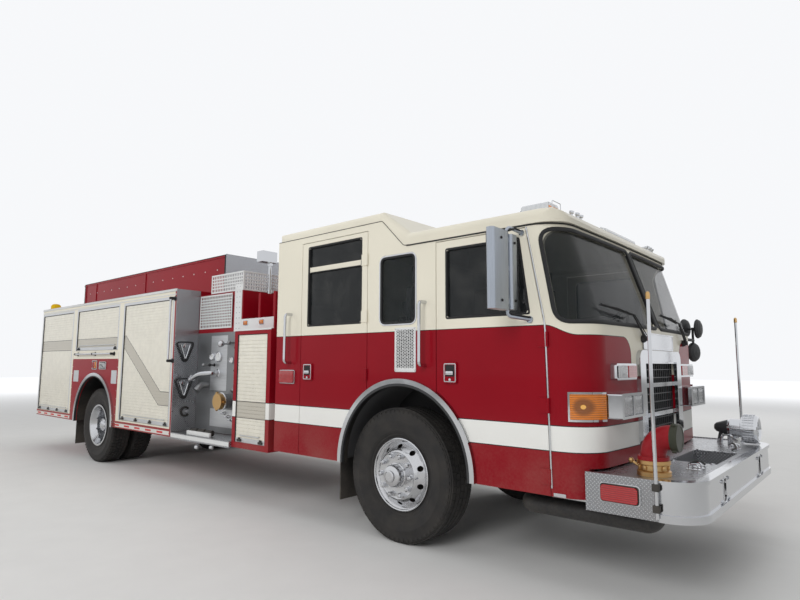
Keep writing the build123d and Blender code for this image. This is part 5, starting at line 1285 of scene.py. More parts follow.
class FIREENGINE_OT_mirror_trim(bpy.types.Operator):
    """Build the mirror panes, their rubber edges and the bracket joints"""

    bl_idname = "fireengine.mirror_trim"
    bl_label = "Mirrors"

    def execute(self, context):
        for word, side in SIDES:
            glass, dark = meshes(2)
            for y0, y1, z0, z1, half in ((1.38, 1.575, 1.815, 2.34, 0.03), (1.255, 1.337, 1.825, 2.33, 0.027)):
                def back(p, h):
                    return (fx(1168) - half - h, side * p[0], p[1])
                outline = rectangle(y0 + 0.004, y1 - 0.004, z0 + 0.006, z1 - 0.006, 0.022)
                add_plate(glass, grown_outline(outline, -0.006), back, 0.0025)
                add_frame(dark, outline, back, 0.006, 0.004)
                for z in (z0 + 0.05, z1 - 0.05):
                    add_turned(dark, [(10, 0), (10, 5), (6, 8), (0, 8)], (fx(1168) + half, side * (y0 + y1) / 2, z),
                        (1, 0, 0), 12)
            for x, z in ((1212, 2.364), (1262, 1.748)):
                for dx, dz in ((-0.012, -0.012), (0.012, 0.012)):
                    add_turned(dark, [(4, 0), (4, 3), (0, 4)], (fx(x) + dx, side * 1.2318, z + dz), (0, side, 0), 8)
            for arm in (((1178, 1.357, 2.36), (1206, 1.3, 2.382), (1214, 1.235, 2.372)),
                    ((1178, 1.357, 1.79), (1228, 1.29, 1.772), (1266, 1.235, 1.762))):
                add_tube(dark, [(fx(x), side * y, z) for x, y, z in arm], 0.007, 8)
            piece(f"mirror_panes_{word}", glass, "mirror_glass", 30, "bright_metal", body=f"front_door_{word}")
            piece(f"mirror_edges_{word}", dark, "rubber", 40, "rubber", body=f"front_door_{word}")
        bm = bmesh.new()
        for x, z, turn in ((1612, 1.798, 169), (1728, 1.79, 180), (1680, 1.566, 162)):
            out = (math.cos(math.radians(turn)), math.sin(math.radians(turn)), 0)
            place = Vector((fx(x), 1.29, z)) + Vector(out) * 0.0255
            add_turned(bm, [(83, -1), (83, 2), (60, 6), (30, 9), (0, 10)], place, out, 40)
        piece("corner_mirror_panes", bm, "mirror_glass", 30, "bright_metal")
        return {"FINISHED"}


# Bumper deck


class FIREENGINE_OT_deck_fittings(bpy.types.Operator):
    """Build the fittings of the bumper and its deck"""

    bl_idname = "fireengine.deck_fittings"
    bl_label = "Bumper and deck fittings"

    def execute(self, context):
        bm = bmesh.new()
        for side in (-1, 1):
            for dy, dz in ((-0.082, -0.062), (-0.082, 0.062), (0.082, -0.062), (0.082, 0.062)):
                add_turned(bm, [(13, -2), (13, 4), (9, 4), (9, 10), (0, 12)], (fx(2273), side * 0.6 + dy, 0.6565 + dz),
                    (1, 0, 0), 12)
            add_frame(bm, rounded([(side * 0.6 - 0.045, 0.575), (side * 0.6 + 0.045, 0.575),
                (side * 0.6 + 0.045, 0.738), (side * 0.6 - 0.045, 0.738)][::side], 0.042, 8), on_front(fx(2272)),
                0.011, 0.004)
            add_frame(bm, rectangle(fx(1712), fx(1958), 0.608, 0.728, 0.024), on_side(side, CAB_SIDE), 0.014, 0.012)
        for y in (-0.645, -0.56, 0.56, 0.645):
            add_box(bm, (fx(2062), y - 0.02, 0.7655), (fx(2150), y + 0.02, 0.771), 0.002, 1)
            add_bent(bm, ([(fx(2080), y, 0.771), (fx(2080), y, 0.8), (fx(2132), y, 0.8), (fx(2132), y, 0.771)], 0.018),
                0.006, 8)
        for x, y in ((2150, -0.34), (2150, 0.34), (1895, -0.345), (1895, 0.345), (2022, -0.345), (2022, 0.345)):
            add_turned(bm, [(14, 0), (14, 3), (8, 6), (0, 7)], (fx(x), y, 0.7657), (0, 0, 1), 12)
        piece("deck_fittings", bm, "chrome", 35, "bright_metal")
        dark = bmesh.new()
        for side in (-1, 1):
            add_bent(dark, ([(fx(2066), side * 0.6, 0.79), (fx(2105), side * 0.57, 0.815),
                (fx(2140), side * 0.5, 0.79), (fx(2120), side * 0.43, 0.775)], 0.03), 0.007, 8)
            for z in (0.6, 0.72):
                add_box(dark, (fx(2030), side * 1.2205, z - 0.006), (fx(2070), side * 1.252, z + 0.036), 0.004, 2)
            add_frame(dark, rectangle(fx(1719), fx(1951), 0.614, 0.722, 0.022), on_side(side, 1.2196), 0.006, 0.018)
        piece("deck_hooks_and_clamps", dark, "rubber", 35, "rubber")
        tip = bmesh.new()
        for side in (-1, 1):
            add_turned(tip, [(11.5, -20), (13.5, -18), (13.5, 12), (9, 24), (0, 28)], (fx(2050), side * 1.234, 1.852),
                (0, 0, 1), 16)
        piece("marker_rod_tips", tip, "brass", 40, "brass")
        return {"FINISHED"}


class FIREENGINE_OT_suction_trim(bpy.types.Operator):
    """Build the coupling ring of the suction elbow and the lugs and handle of its base"""

    bl_idname = "fireengine.suction_trim"
    bl_label = "Suction elbow trim"

    def execute(self, context):
        z = DECK_TOP + 0.0923 + 0.142
        ring = bmesh.new()
        centre = (fx(2090), -1.0, z)
        add_turned(ring, [(73.5, -4), (83.5, -4), (86, 3), (86, 30), (83, 40), (70, 40), (66, 30), (52, 26), (0, 24)],
            centre, (1, 0, 0), 40)
        lug = box_unit((0.004, -0.01, 0.08), (0.03, 0.01, 0.098), 0.004, 2)
        add_round(ring, lug, "ring_black", 3, centre, (1, 0, 0), 0.5)
        piece("elbow_coupling_ring", ring, "ring_black", 38, "red_paint", body="elbow")
        base = bmesh.new()
        for level, radius in ((0.77, 100.5), (0.786, 100.5), (0.838, 98.5), (0.852, 98.5)):
            add_turned(base, [(radius - 6, -3), (radius, -2), (radius, 2), (radius - 6, 3)], (fx(1970), -1.0, level),
                (0, 0, 1), 48, hollow=True)
        knob = box_unit((0.082, -0.009, 0.036), (0.094, 0.009, 0.062), 0.003, 2)
        add_round(base, knob, "brass", 10, (fx(1970), -1.0, DECK_TOP), (0, 0, 1))
        add_tube(base, [(fx(1890), -1.0, 0.806), (fx(1862), -1.0, 0.822), (fx(1838), -1.0, 0.838)], 0.009, 10)
        add_turned(base, [(0, -18), (12, -14), (18, 0), (12, 14), (0, 18)], (fx(1834), -1.0, 0.841), (0, 0, 1), 14)
        piece("elbow_base_rings", base, "brass", 40, "brass")
        return {"FINISHED"}


class FIREENGINE_OT_siren_trim(bpy.types.Operator):
    """Build the ribs, the front grille and the blank tag of the siren"""

    bl_idname = "fireengine.siren_trim"
    bl_label = "Siren trim"

    def execute(self, context):
        z = DECK_TOP + 0.131
        bm = bmesh.new()
        rib = box_unit((0.0, -0.0045, 0.1165), (0.084, 0.0045, 0.1225), 0.0015)
        add_round(bm, rib, "chrome", 30, (fx(2114), 1.0, z), (1, 0, 0))
        for x in (2126, 2156, 2186):
            add_turned(bm, [(116.5, -4), (121.5, -3), (121.5, 3), (116.5, 4)], (fx(x), 1.0, z), (1, 0, 0), 48,
                hollow=True)
        for radius in (30, 48, 62):
            add_turned(bm, [(radius - 5, 0), (radius - 4, 6), (radius + 4, 6), (radius + 5, 0)], (fx(2206), 1.0, z),
                (1, 0, 0), 32, hollow=True)
        spoke = box_unit((0.0, -0.004, 0.0), (0.007, 0.004, 0.066), 0.001)
        add_round(bm, spoke, "chrome", 8, (fx(2205), 1.0, z), (1, 0, 0))
        add_bent(bm, ([(fx(1940), 0.955, 0.768), (fx(1945), 0.955, 0.835), (fx(2010), 0.94, 0.842),
            (fx(2060), 0.945, 0.79)], 0.03), 0.01, 10)
        piece("siren_ribs", bm, "chrome", 35, "bright_metal")
        tag = bmesh.new()
        add_plate(tag, rectangle(fx(2030), fx(2084), 0.77, 0.816, 0.004), on_side(1, 0.9565), 0.0025)
        piece("siren_blank_tag", tag, "white", 35, "bright_metal")
        return {"FINISHED"}


# Roof


class FIREENGINE_OT_roof_lamps(bpy.types.Operator):
    """Build the brackets, bases and inner lamps of the roof pods and the lamp strip"""

    bl_idname = "fireengine.roof_lamps"
    bl_label = "Roof lamps"

    def execute(self, context):
        bm, bars, pods = meshes(3)
        profile = [(fx(1140), 2.5325), (fx(1330), 2.5325), (fx(1362), 2.5298), (fx(1366), 2.575), (fx(1358), 2.592),
            (fx(1152), 2.592), (fx(1140), 2.582)]
        small = grown_outline(profile, -0.006)
        add_ring_loft(pods, [[(x, y, z) for x, z in shape] for y, shape in (
            (0.945, small), (0.951, profile), (1.094, profile), (1.1, small))])
        mirror_into(pods)
        skin = ((1482.0, 1135.8), (1478.1, 1142.0), (1473.9, 1148.2), (1469.4, 1154.2), (1464.8, 1160.0),
            (1455.1, 1170.7), (1444.4, 1180.8))
        skins = bmesh.new()
        edge = [(fx(x + 0.4), (y + 0.35) / 1000) for x, y in skin]
        edge += [(fx(x - 1.2), (y - 1.0) / 1000) for x, y in reversed(skin)]
        add_ring_loft(skins, [[(x, y, z) for x, y in edge] for z in (2.4365, 2.468)])
        mirror_into(skins)
        piece("roof_corner_skins", skins, "cream", 30, "cream_paint")
        strip = [(fx(1426), 2.5215), (fx(1426), 2.54), (fx(1474), 2.521), (fx(1480), 2.496)]
        add_ring_loft(pods, [[(x, y, z) for x, z in strip] for y in (-0.33, 0.33)])
        piece("roof_lamp_covers", pods, "cover", 35, "lamp_cover", "light_bar")
        for y in (0.9445, 1.1005):
            add_box(bm, (fx(1150), y - 0.0012, 2.534), (fx(1362), y + 0.0012, 2.548), 0.0008, 1)
        add_box(bm, (fx(1136), 0.943, 2.5325), (fx(1141), 1.102, 2.56), 0.001, 1)
        add_bent(bm, ([(fx(1366), 0.955, 2.53), (fx(1384), 0.955, 2.53), (fx(1384), 0.955, 2.598),
            (fx(1384), 1.09, 2.598), (fx(1384), 1.09, 2.53), (fx(1366), 1.09, 2.53)], 0.012), 0.003, 8)
        for x, y in ((1450, 0.9), (1458, 0.82), (1452, 0.74)):
            add_turned(bm, [(12, -20), (12, 12), (18, 20), (18, 34), (0, 40)], (fx(x - 12), y, 2.515), (0.2, 0, 1), 14)
        mirror_into(bm)
        cell = box_unit((fx(1440), -0.318, 2.5225), (fx(1446), -0.282, 2.5275), 0.001)
        add_row(bars, cell, "chrome", 15, (0, 0.0429, 0))
        piece("roof_lamp_brackets", bm, "chrome", 35, "bright_metal")
        piece("lamp_strip_cells", bars, "chrome", 35, "bright_metal")
        rivets = bmesh.new()
        for y in (-1.212, 1.212):
            add_row(rivets, rivet_unit((fx(-1500), y, 2.7), (0, y, 0)), "cream", 12, (0.112, 0, 0))
        piece("roof_rivets", rivets, "cream", 40, "cream_paint")
        return {"FINISHED"}


# Body


DOORS = ((-2375, -960, 650, 2280, 4), (-830, 710, 1625, 2280, 2), (836, 2250, 665, 2270, 4))


class DoorSettings(bpy.types.PropertyGroup):
    """Fittings of the roll-up doors."""

    bar: FloatProperty(name="Bottom bar", description="Height of the bright bar at a door's foot", default=0.046,
        unit="LENGTH")
    clip: FloatProperty(name="Clip length", description="Length of each black clip on the bottom bar", default=0.066,
        unit="LENGTH")


class FIREENGINE_OT_roll_up_doors(bpy.types.Operator):
    """Build the bottom bars, lift bars, clips and side seals of the roll-up doors"""

    bl_idname = "fireengine.roll_up_doors"
    bl_label = "Roll-up doors"

    def execute(self, context):
        s = context.scene.engine_doors
        bars, dark = meshes(2)
        rows = [(rx(a) + 0.0365, rx(b) - 0.0365, low / 1000 + 0.004, high / 1000 - 0.037, 1.238, clips) for a, b, low,
            high, clips in DOORS]
        rows.append((rx(3550) + 0.0555, rx(4195) - 0.0605, 0.6155, 1.7495, 1.208, 2))
        for x0, x1, z0, z1, y, clips in rows:
            place = on_side(-1, y)
            add_plate(bars, rectangle(x0, x1, z0, z0 + s.bar, 0.003, 2), place, 0.005)
            add_bent(bars, ([(x0 + 0.1, -y - 0.004, z0 + 0.075), (x0 + 0.1, -y - 0.016, z0 + 0.075),
                (x1 - 0.1, -y - 0.016, z0 + 0.075), (x1 - 0.1, -y - 0.004, z0 + 0.075)], 0.01), 0.0055, 8)
            unit, lift = bmesh.new(), 0.006
            add_box(unit, (x0 + 0.045, -y - 0.017, z0 + lift), (x0 + 0.045 + s.clip, -y - 0.004, z0 + lift + 0.026),
                0.004, 2)
            add_box(unit, (x0 + 0.058, -y - 0.012, z0 + lift + 0.02),
                (x0 + 0.033 + s.clip, -y - 0.003, z0 + lift + 0.044), 0.005, 2)
            add_row(dark, unit, "rubber", clips, ((x1 - x0 - 0.09 - s.clip) / max(clips - 1, 1), 0, 0))
            for x in (x0 - 0.001, x1 - 0.007):
                add_box(dark, (x, -y - 0.01, z0 + 0.002), (x + 0.008, -y + 0.001, z1), 0.002, 1)
            add_box(dark, (x0, -y - 0.01, z1 - 0.006), (x1, -y + 0.001, z1 + 0.001), 0.002, 1)
        mirror_into(bars)
        mirror_into(dark)
        piece("roll_up_door_bars", bars, "satin", 38, "guard_metal")
        piece("roll_up_door_clips", dark, "rubber", 38, "rubber")
        return {"FINISHED"}


class FIREENGINE_OT_body_trim(bpy.types.Operator):
    """Build the gutters, rail ends, fender lamps, plates and beacon of the body"""

    bl_idname = "fireengine.body_trim"
    bl_label = "Body trim"

    def execute(self, context):
        pale, dark, chrome = meshes(3)
        profile = [(BODY_SIDE, 2.332), (1.2625, 2.334), (1.264, 2.342), (1.256, 2.348), (1.256, 2.358), (1.264, 2.364),
            (1.25, 2.3655), (BODY_SIDE, 2.362)]
        add_ring_loft(pale, [[(x, -y, z) for y, z in profile] for x in (rx(-2380), rx(2300))])
        add_box(pale, (rx(-2380), -1.2555, 2.288), (rx(2290), -BODY_SIDE, 2.3), 0.002, 1)
        for x in (-900, 744):
            add_box(pale, (rx(x), -1.2545, 1.5), (rx(x + 6), -BODY_SIDE, 1.6), 0.001, 1)
        for x in (-883, 730):
            add_row(chrome, rivet_unit((rx(x), -1.25, 0.62), (0, -1, 0)), "satin", 9, (0, 0, (1.49 - 0.62) / 8))
        for x in (-700, -50, 600):
            add_turned(dark, [(30, 0), (30, 4), (21, 8), (18, 30), (16, 58), (0, 60)], (rx(x), -1.25, 1.572),
                (0, -1, 0), 20)
        for z in (1.47, 2.24):
            add_turned(dark, [(30, 0), (30, 4), (19, 10), (17, 74), (0, 77)], (rx(2265), -1.25, z), (0, -1, 0), 20)
        for x0, x1, z0, z1 in ((-122, 36, 1.352, 1.468), (132, 348, 1.356, 1.452)):
            add_frame(chrome, body_box(x0, x1, z0, z1, 0.014, 0.008), on_side(-1, BODY_SIDE), 0.01, 0.012)
            add_plate(dark, body_box(x0, x1, z0, z1, 0.01), on_side(-1, BODY_SIDE), 0.005)
        for x0, x1, z0, z1 in ((-832, -640, 1.15, 1.325), (540, 712, 1.15, 1.338)):
            add_plate(chrome, body_box(x0, x1, z0, z1, 0.01), on_side(-1, BODY_SIDE), 0.003)
            for x in (x0 + 18, x1 - 18):
                for z in (z0 + 0.018, z1 - 0.018):
                    add_turned(chrome, [(6, 0), (4, 3), (0, 4)], (rx(x), -1.2525, z), (0, -1, 0), 8)
        for bm in (pale, dark, chrome):
            mirror_into(bm)
        piece("body_gutters", pale, "white", 35, "guard_metal")
        piece("body_rail_ends", dark, "rubber", 38, "rubber")
        piece("fender_lamp_frames", chrome, "satin", 38, "guard_metal")
        dome = ((0, 0), (0, 0.012), (0.006, 0.017), (0.02, 0.019))
        for name, finish, slot, x0, x1, z0, z1 in (
                ("fender_lamps_red", "red_lens", "red_lens", -114, -48, 1.362, 1.458),
                ("fender_lamps_amber", "amber", "amber_lens", -40, 28, 1.362, 1.458),
                ("fender_lamps_clear", "clear", "clear_lens", 142, 338, 1.366, 1.442)):
            bm = bmesh.new()
            add_lens(bm, (rx(x0), rx(x1), z0, z1), 1.2525, dome, 0.012)
            mirror_into(bm)
            piece(name, bm, finish, 40, slot)
        beacon, foot = meshes(2)
        for y in (-1.1, 1.1):
            add_turned(foot, [(86, 0), (86, 16), (78, 26), (0, 26)], (rx(-2270), y, 2.36), (0, 0, 1), 32)
            add_turned(beacon, [(78, 24), (80, 70), (70, 98), (44, 116), (0, 122)], (rx(-2270), y, 2.36), (0, 0, 1),
                32)
        piece("rear_beacons", beacon, "yellow", 40, "amber_lens")
        piece("beacon_feet", foot, "rubber", 40, "rubber")
        return {"FINISHED"}


class FIREENGINE_OT_hose_bed_trim(bpy.types.Operator):
    """Build the rivets, edge caps and rear posts of the hose bed"""

    bl_idname = "fireengine.hose_bed_trim"
    bl_label = "Hose bed trim"

    def execute(self, context):
        pale, dark = meshes(2)
        rivet = turned_unit([(9, 0), (8, 3), (4, 5), (0, 5)], (rx(-1750), -0.735, 2.655), (0, -1, 0), 10)
        add_row(pale, rivet, "white", 15, (0.2925, 0, 0))
        add_box(dark, (rx(-1974), -0.7465, 2.829), (rx(2552), -0.68, 2.8385), 0.003, 2)
        for x in (-1960, 2540):
            add_box(dark, (rx(x) - 0.01, -0.749, 2.36), (rx(x) + 0.01, -0.7345, 2.832), 0.003, 1)
        add_bent(pale, ([(rx(-2010), -0.715, 2.365), (rx(-2010), -0.715, 2.8), (rx(-2010), -0.64, 2.8)], 0.04), 0.014,
            10)
        add_turned(pale, [(24, 0), (30, 10), (30, 30), (16, 40), (0, 41)], (rx(-2010), -0.715, 2.796), (0, 0, 1), 16)
        mirror_into(pale)
        mirror_into(dark)
        floor = bmesh.new()
        slat = box_unit((rx(-1960), -0.52, 2.2505), (rx(2280), -0.482, 2.262), 0.003)
        add_row(floor, slat, "satin", 12, (0, 0.0925, 0))
        piece("hose_bed_rivets", pale, "white", 40, "guard_metal")
        piece("hose_bed_edges", dark, "rubber", 40, "rubber")
        piece("hose_bed_floor_slats", floor, "satin", 40, "guard_metal")
        return {"FINISHED"}


class FIREENGINE_OT_pump_bay(bpy.types.Operator):
    """Build the fittings of the pump panels, the end walls and the running boards"""

    bl_idname = "fireengine.pump_bay"
    bl_label = "Pump bay"

    def execute(self, context):
        chrome, dark, white, plate, amber = meshes(5)
        face, out = 0.9365, (0, -1, 0)

        def fit(bm, profile, steps, *places):
            for x, z in places:
                add_turned(bm, profile, (rx(x), -face, z), out, steps)

        def cover(bm, x0, x1, z0, z1, corner, level, thick):
            add_plate(bm, body_box(x0, x1, z0, z1, corner), on_side(-1, level), thick)

        cover(plate, 2614, 2968, 1.115, 1.776, 0.006, face, 0.0025)
        cover(plate, 2640, 3130, 0.69, 0.9, 0.006, face, 0.0025)
        for x, z, r in ((2660, 1.52, 45), (2800, 1.52, 62), (3080, 1.48, 40), (3200, 1.48, 40)):
            fit(chrome, [(r, 1), (r, 20), (r - 6, 26), (r - 10, 22), (r - 12, 16)], 32, (x, z))
            fit(white, [(r - 11, 0), (r - 11, 17), (0, 17.5)], 32, (x, z))
            add_box(dark, (rx(x) - 0.0012, -face - 0.0195, z - 0.004),
                (rx(x) + 0.0012, -face - 0.0178, z + r * 0.00062))
        fit(chrome, [(10, 0), (10, 60), (20, 68), (36, 86), (41, 106), (36, 126), (20, 140), (0, 144)], 28,
            (2994, 1.67))
        elbow = rounded_route([(rx(2790), -face, 1.325), (rx(2790), -face - 0.12, 1.325),
            (rx(2640), -face - 0.165, 1.318), (rx(2480), -face - 0.165, 1.262)], 0.07)
        add_tube(chrome, elbow, 0.03, 16)
        add_turned(chrome, [(30, -10), (40, -8), (40, 30), (34, 36), (0, 37)], elbow[-1],
            (elbow[-1] - elbow[-2]).normalized(), 24)
        fit(chrome, [(46, 0), (46, 10), (34, 16), (31, 30)], 24, (2790, 1.325))
        for x, z in ((2964, 0.859), (3114, 0.788), (3040, 0.822)):
            fit(chrome, [(20, 0), (20, 12), (12, 18), (12, 46), (0, 48)], 16, (x, z))
            add_tube(chrome, [(rx(x) - 0.032, -face - 0.044, z), (rx(x) + 0.032, -face - 0.044, z)], 0.006, 8)
        add_turned(chrome, [(100, -4), (104, 0), (104, 12), (94, 16), (90, 10)], (rx(3010), -1.012, 1.0), out, 40)
        for x, z in ((3240, 1.62), (3240, 1.36), (2700, 1.42), (3380, 1.42), (3380, 1.62)):
            fit(dark, [(20, 0), (20, 6), (8, 8), (8, 50), (17, 56), (19, 70), (12, 80), (0, 82)], 16, (x, z))
            add_frame(chrome, rectangle(rx(x) - 0.016, rx(x) + 0.016, z - 0.075, z + 0.075, 0.014), on_side(-1, face),
                0.004, 0.003)
        add_box(white, (rx(2640), -1.235, 0.6125), (rx(3130), -1.205, 0.662), 0.006, 2)
        add_box(white, (rx(2306), -1.2515, 0.558), (rx(3545), -1.2498, 0.602), 0.001, 1)
        for x in (2700, 2860, 3020):
            add_turned(dark, [(30, -50), (34, -45), (34, 45), (30, 50)], (rx(x), -1.165, 0.65), (1, 0.3, 0), 20)
        for x, z in ((2659, 0.47), (2981, 0.5)):
            add_turned(chrome, [(16, -60), (18, 0), (27, 4), (27, 30), (20, 40), (0, 41)], (rx(x), -1.1, z),
                (0, -0.4, -1), 16)
        wall = rx(2301)
        hung, pipe = wall + 0.016, wall + 0.014
        for z in (1.7, 1.248):
            add_bent(dark, ([(hung, y, z + dz) for y, dz in ((-1.225, -0.02), (-1.2, 0), (-1.03, 0.004),
                (-1.005, -0.02), (-1.09, -0.235), (-1.134, -0.235), (-1.225, -0.02))], 0.03), 0.008, 8)
            for top, foot in ((-1.175, -1.116), (-1.055, -1.108)):
                add_tube(chrome, [(pipe, top, z - 0.03), (pipe, foot, z - 0.2)], 0.01, 8)
            add_turned(chrome, [(30, 0), (30, 12), (18, 16), (0, 18)], (wall, -1.115, z - 0.045), (1, 0, 0), 20)
            add_turned(dark, [(24, 0), (24, 20), (10, 24), (0, 24)], (wall, -1.112, z - 0.215), (1, 0, 0), 20)
        add_tube(dark, [(pipe, -1.082 + 0.052 * math.cos(a), 0.85 + 0.052 * math.sin(a))
            for a in (math.radians(40 + 14 * k) for k in range(21))], 0.013, 10)
        add_turned(chrome, [(18, 0), (18, 20), (0, 22)], (wall, -1.06, 0.85), (1, 0, 0), 16)
        cover(white, 3134, 3846, 1.806, 1.956, 0.004, 0.9302, 0.004)
        cover(white, 3082, 3228, 1.812, 2.38, 0.004, 0.9302, 0.006)
        rivet = turned_unit([(7, 0), (6, 3), (0, 4)], (rx(3130), -0.9362, 1.85), out, 8)
        add_row(chrome, rivet, "chrome", 2, (0.058, 0, 0), 9, (0, 0, 0.062))
        for x in (3319, 3628):
            add_frame(chrome, rectangle(rx(x) - 0.044, rx(x) + 0.044, 1.878, 1.936, 0.01), on_side(-1, TRAY_FACE),
                0.007, 0.006)
            add_lens(amber, (rx(x) - 0.037, rx(x) + 0.037, 1.885, 1.929), TRAY_FACE,
                ((0, 0), (0, 0.01), (0.006, 0.014)), 0.008)
        for x in (3550, 4193):
            add_box(white, (rx(x) - 0.006, -1.2235, 1.795), (rx(x) + 0.006, -1.215, 1.802))
        add_box(white, (rx(3546), -1.226, 1.788), (rx(4199), -1.2185, 1.806), 0.003, 2)
        for name, bm, finish, smooth, slot in (("pump_chrome", chrome, "chrome", 38, "bright_metal"),
                ("pump_black_fittings", dark, "rubber", 38, "rubber"),
                ("pump_white_fittings", white, "white", 38, "guard_metal"),
                ("pump_centre_plates", plate, "satin", 38, "steel_panel"),
                ("tray_amber_lamps", amber, "amber", 40, "amber_lens")):
            mirror_into(bm)
            piece(name, bm, finish, smooth, slot)
        return {"FINISHED"}


class FIREENGINE_OT_rear_trim(bpy.types.Operator):
    """Build the tail lamp bezels, the rear hand rails and the slats of the rear roll-up door"""

    bl_idname = "fireengine.rear_trim"
    bl_label = "Rear trim"

    def execute(self, context):
        bm = bmesh.new()
        level = rx(-2382)

        def back(p, h):
            return (level - h, p[0], p[1])
        for z in (1.0, 1.18, 1.36):
            add_frame(bm, rectangle(0.905, 1.095, z - 0.085, z + 0.085, 0.028), back, 0.01, 0.016)
        for y in (0.6, 1.2):
            add_bent(bm, ([(level + 0.004, y, 1.55), (level - 0.02, y, 1.55), (level - 0.02, y, 2.2),
                (level + 0.004, y, 2.2)], 0.015), 0.0075, 10)
        mirror_into(bm)
        piece("tail_lamp_bezels", bm, "polished", 38, "bright_metal")
        slats, unit = meshes(2)
        add_box(unit, (rx(-1984), -0.5, 1.06), (rx(-1971), 0.5, 1.092), 0.005, 2)
        add_row(slats, unit, "shutter", 32, (0, 0, 0.036))
        add_box(slats, (rx(-1990), -0.512, 1.005), (rx(-1971), 0.512, 1.05), 0.003, 1)
        piece("rear_roll_up_door", slats, "shutter", 38, "shutter_paint")
        return {"FINISHED"}


# Cab inside


def add_cushion(bm, centre, size, crown, turn=Matrix.Identity(4)):
    """Crowned pad whose sides pull in between its corners, with a pinched seam and sewn channels."""
    half = Vector(size) / 2
    unit = bmesh.new()
    bmesh.ops.create_cube(unit, size=2)
    bmesh.ops.subdivide_edges(unit, edges=unit.edges[:], cuts=12, use_grid_fill=True)
    for vert in unit.verts:
        u, v, w = vert.co
        edge = max(abs(u), abs(v))
        round_off = 1 - 0.1 * (u * u * v * v)
        channel = 0.06 * math.exp(-((abs(u) - 0.42) / 0.045) ** 2) if abs(v) < 0.93 else 0
        height = w * (1 - 0.55 * edge ** 6) * (1 - channel) if abs(w) > 0.99 else w * 0.78
        pull = 1 - 0.025 * (1 - w * w)
        seam = 1 + 0.018 * math.exp(-((w - 0.35) / 0.09) ** 2) - 0.012 * math.exp(-((w - 0.2) / 0.05) ** 2)
        along, across = (1 - 0.022 * (1 - c * c) for c in (v, u))
        lift = crown * (1 - u * u) * (1 - v * v) if w > 0.99 else 0
        shrink = round_off * pull * seam
        vert.co = Vector((u * shrink * along * half.x, v * shrink * across * half.y, height * half.z + lift))
    bmesh.ops.transform(unit, matrix=Matrix.Translation(centre) @ turn, verts=unit.verts)
    mesh = bpy.data.meshes.new("cushion")
    unit.to_mesh(mesh)
    unit.free()
    bm.from_mesh(mesh)
    bpy.data.meshes.remove(mesh)


class FIREENGINE_OT_seats(bpy.types.Operator):
    """Build the padded seats with their headrest posts and pedestals"""

    bl_idname = "fireengine.seats"
    bl_label = "Seats"

    def execute(self, context):
        pads, stands = meshes(2)
        rows = ((620, 0.8, 1.3403, 0.33, 1), (-260, 0.8, 1.3403, 0.2, -1), (-1180, 0.76, 1.0503, 0.4, 1))
        for x, y0, floor, base, facing in rows:
            middle, back, seat = fx(x), fx(x - facing * 265), floor + base
            upright = Matrix.Rotation(facing * math.pi / 2, 4, "Y")
            for y in (-y0, y0):
                add_cushion(pads, (middle, y, seat + 0.06), (0.47, 0.49, 0.115), 0.012)
                add_cushion(pads, (back, y, seat + 0.31), (0.56, 0.47, 0.092), 0.01, upright)
                add_cushion(pads, (fx(x - facing * 262), y, seat + 0.685), (0.17, 0.3, 0.086), 0.008, upright)
                for dy in (-0.09, 0.09):
                    add_tube(stands, [(back, y + dy, seat + 0.55), (back, y + dy, seat + 0.66)], 0.007, 8)
                add_box(stands, (middle - 0.15, y - 0.16, floor), (middle + 0.15, y + 0.16, seat), 0.02, 3)
                add_box(stands, (middle - 0.225, y - 0.235, seat - 0.012), (middle + 0.225, y + 0.235, seat), 0.004, 2)
        piece("seat_cushions", pads, "cloth", 60, "seat_cloth", "seats")
        piece("seat_stands", stands, "plastic", 38, "trim_plastic")
        return {"FINISHED"}


class FIREENGINE_OT_dash(bpy.types.Operator):
    """Build the instruments and switches of the dashboard and two blocks on it"""

    bl_idname = "fireengine.dash"
    bl_label = "Dashboard"

    def execute(self, context):
        bm, pale = meshes(2)
        x0 = fx(1330)
        for y in (0.86, 0.78, 0.7, 0.62, 0.54):
            add_turned(pale, [(34, -2), (34, 6), (29, 8), (28, 4), (0, 4)], (x0 + 0.017, y, 1.6), (-1, 0, 0.12), 24)
        switch = box_unit((x0 - 0.004, -0.2, 1.5), (x0 + 0.004, -0.178, 1.536), 0.003)
        add_row(bm, switch, "rubber", 9, (0, 0.036, 0), 2, (0.005, 0, 0.05))
        add_box(bm, (x0 + 0.03, -0.62, 1.702), (x0 + 0.2, -0.38, 1.76), 0.012, 3)
        add_box(bm, (x0 + 0.05, 0.1, 1.702), (x0 + 0.16, 0.26, 1.8), 0.012, 3)
        piece("dash_switches", bm, "rubber", 40, "trim_plastic")
        piece("dash_gauges", pale, "satin", 40, "bright_metal")
        return {"FINISHED"}


# Stage


class StageSettings(bpy.types.PropertyGroup):
    """Floor, lamps and camera."""

    floor: FloatVectorProperty(name="Floor colour", description="Colour of the floor and backdrop", subtype="COLOR",
        default=(0.8, 0.8, 0.79))
    sky: FloatProperty(name="Sky", description="Strength of the even light from all sides", default=0.34)
    key: FloatProperty(name="Key lamp", description="Power of the large lamp on the camera's side", default=900.0,
        unit="POWER")
    lens: FloatProperty(name="Lens", description="Focal length on a 36 mm sensor", default=25.78)
    camera_place: FloatVectorProperty(name="Camera place", description="Where the camera stands",
        subtype="TRANSLATION", default=(6.143, -4.783, 1.4385))
    camera_yaw: FloatProperty(name="Camera yaw", description="Turn from across the vehicle towards its rear",
        subtype="ANGLE", default=0.7124)
    camera_pitch: FloatProperty(name="Camera pitch", description="Tilt upwards", subtype="ANGLE", default=0.1117)
    camera_roll: FloatProperty(name="Camera roll", description="Roll of the camera", subtype="ANGLE", default=0.004)


BACKDROP = (0.93, 0.94, 0.96)


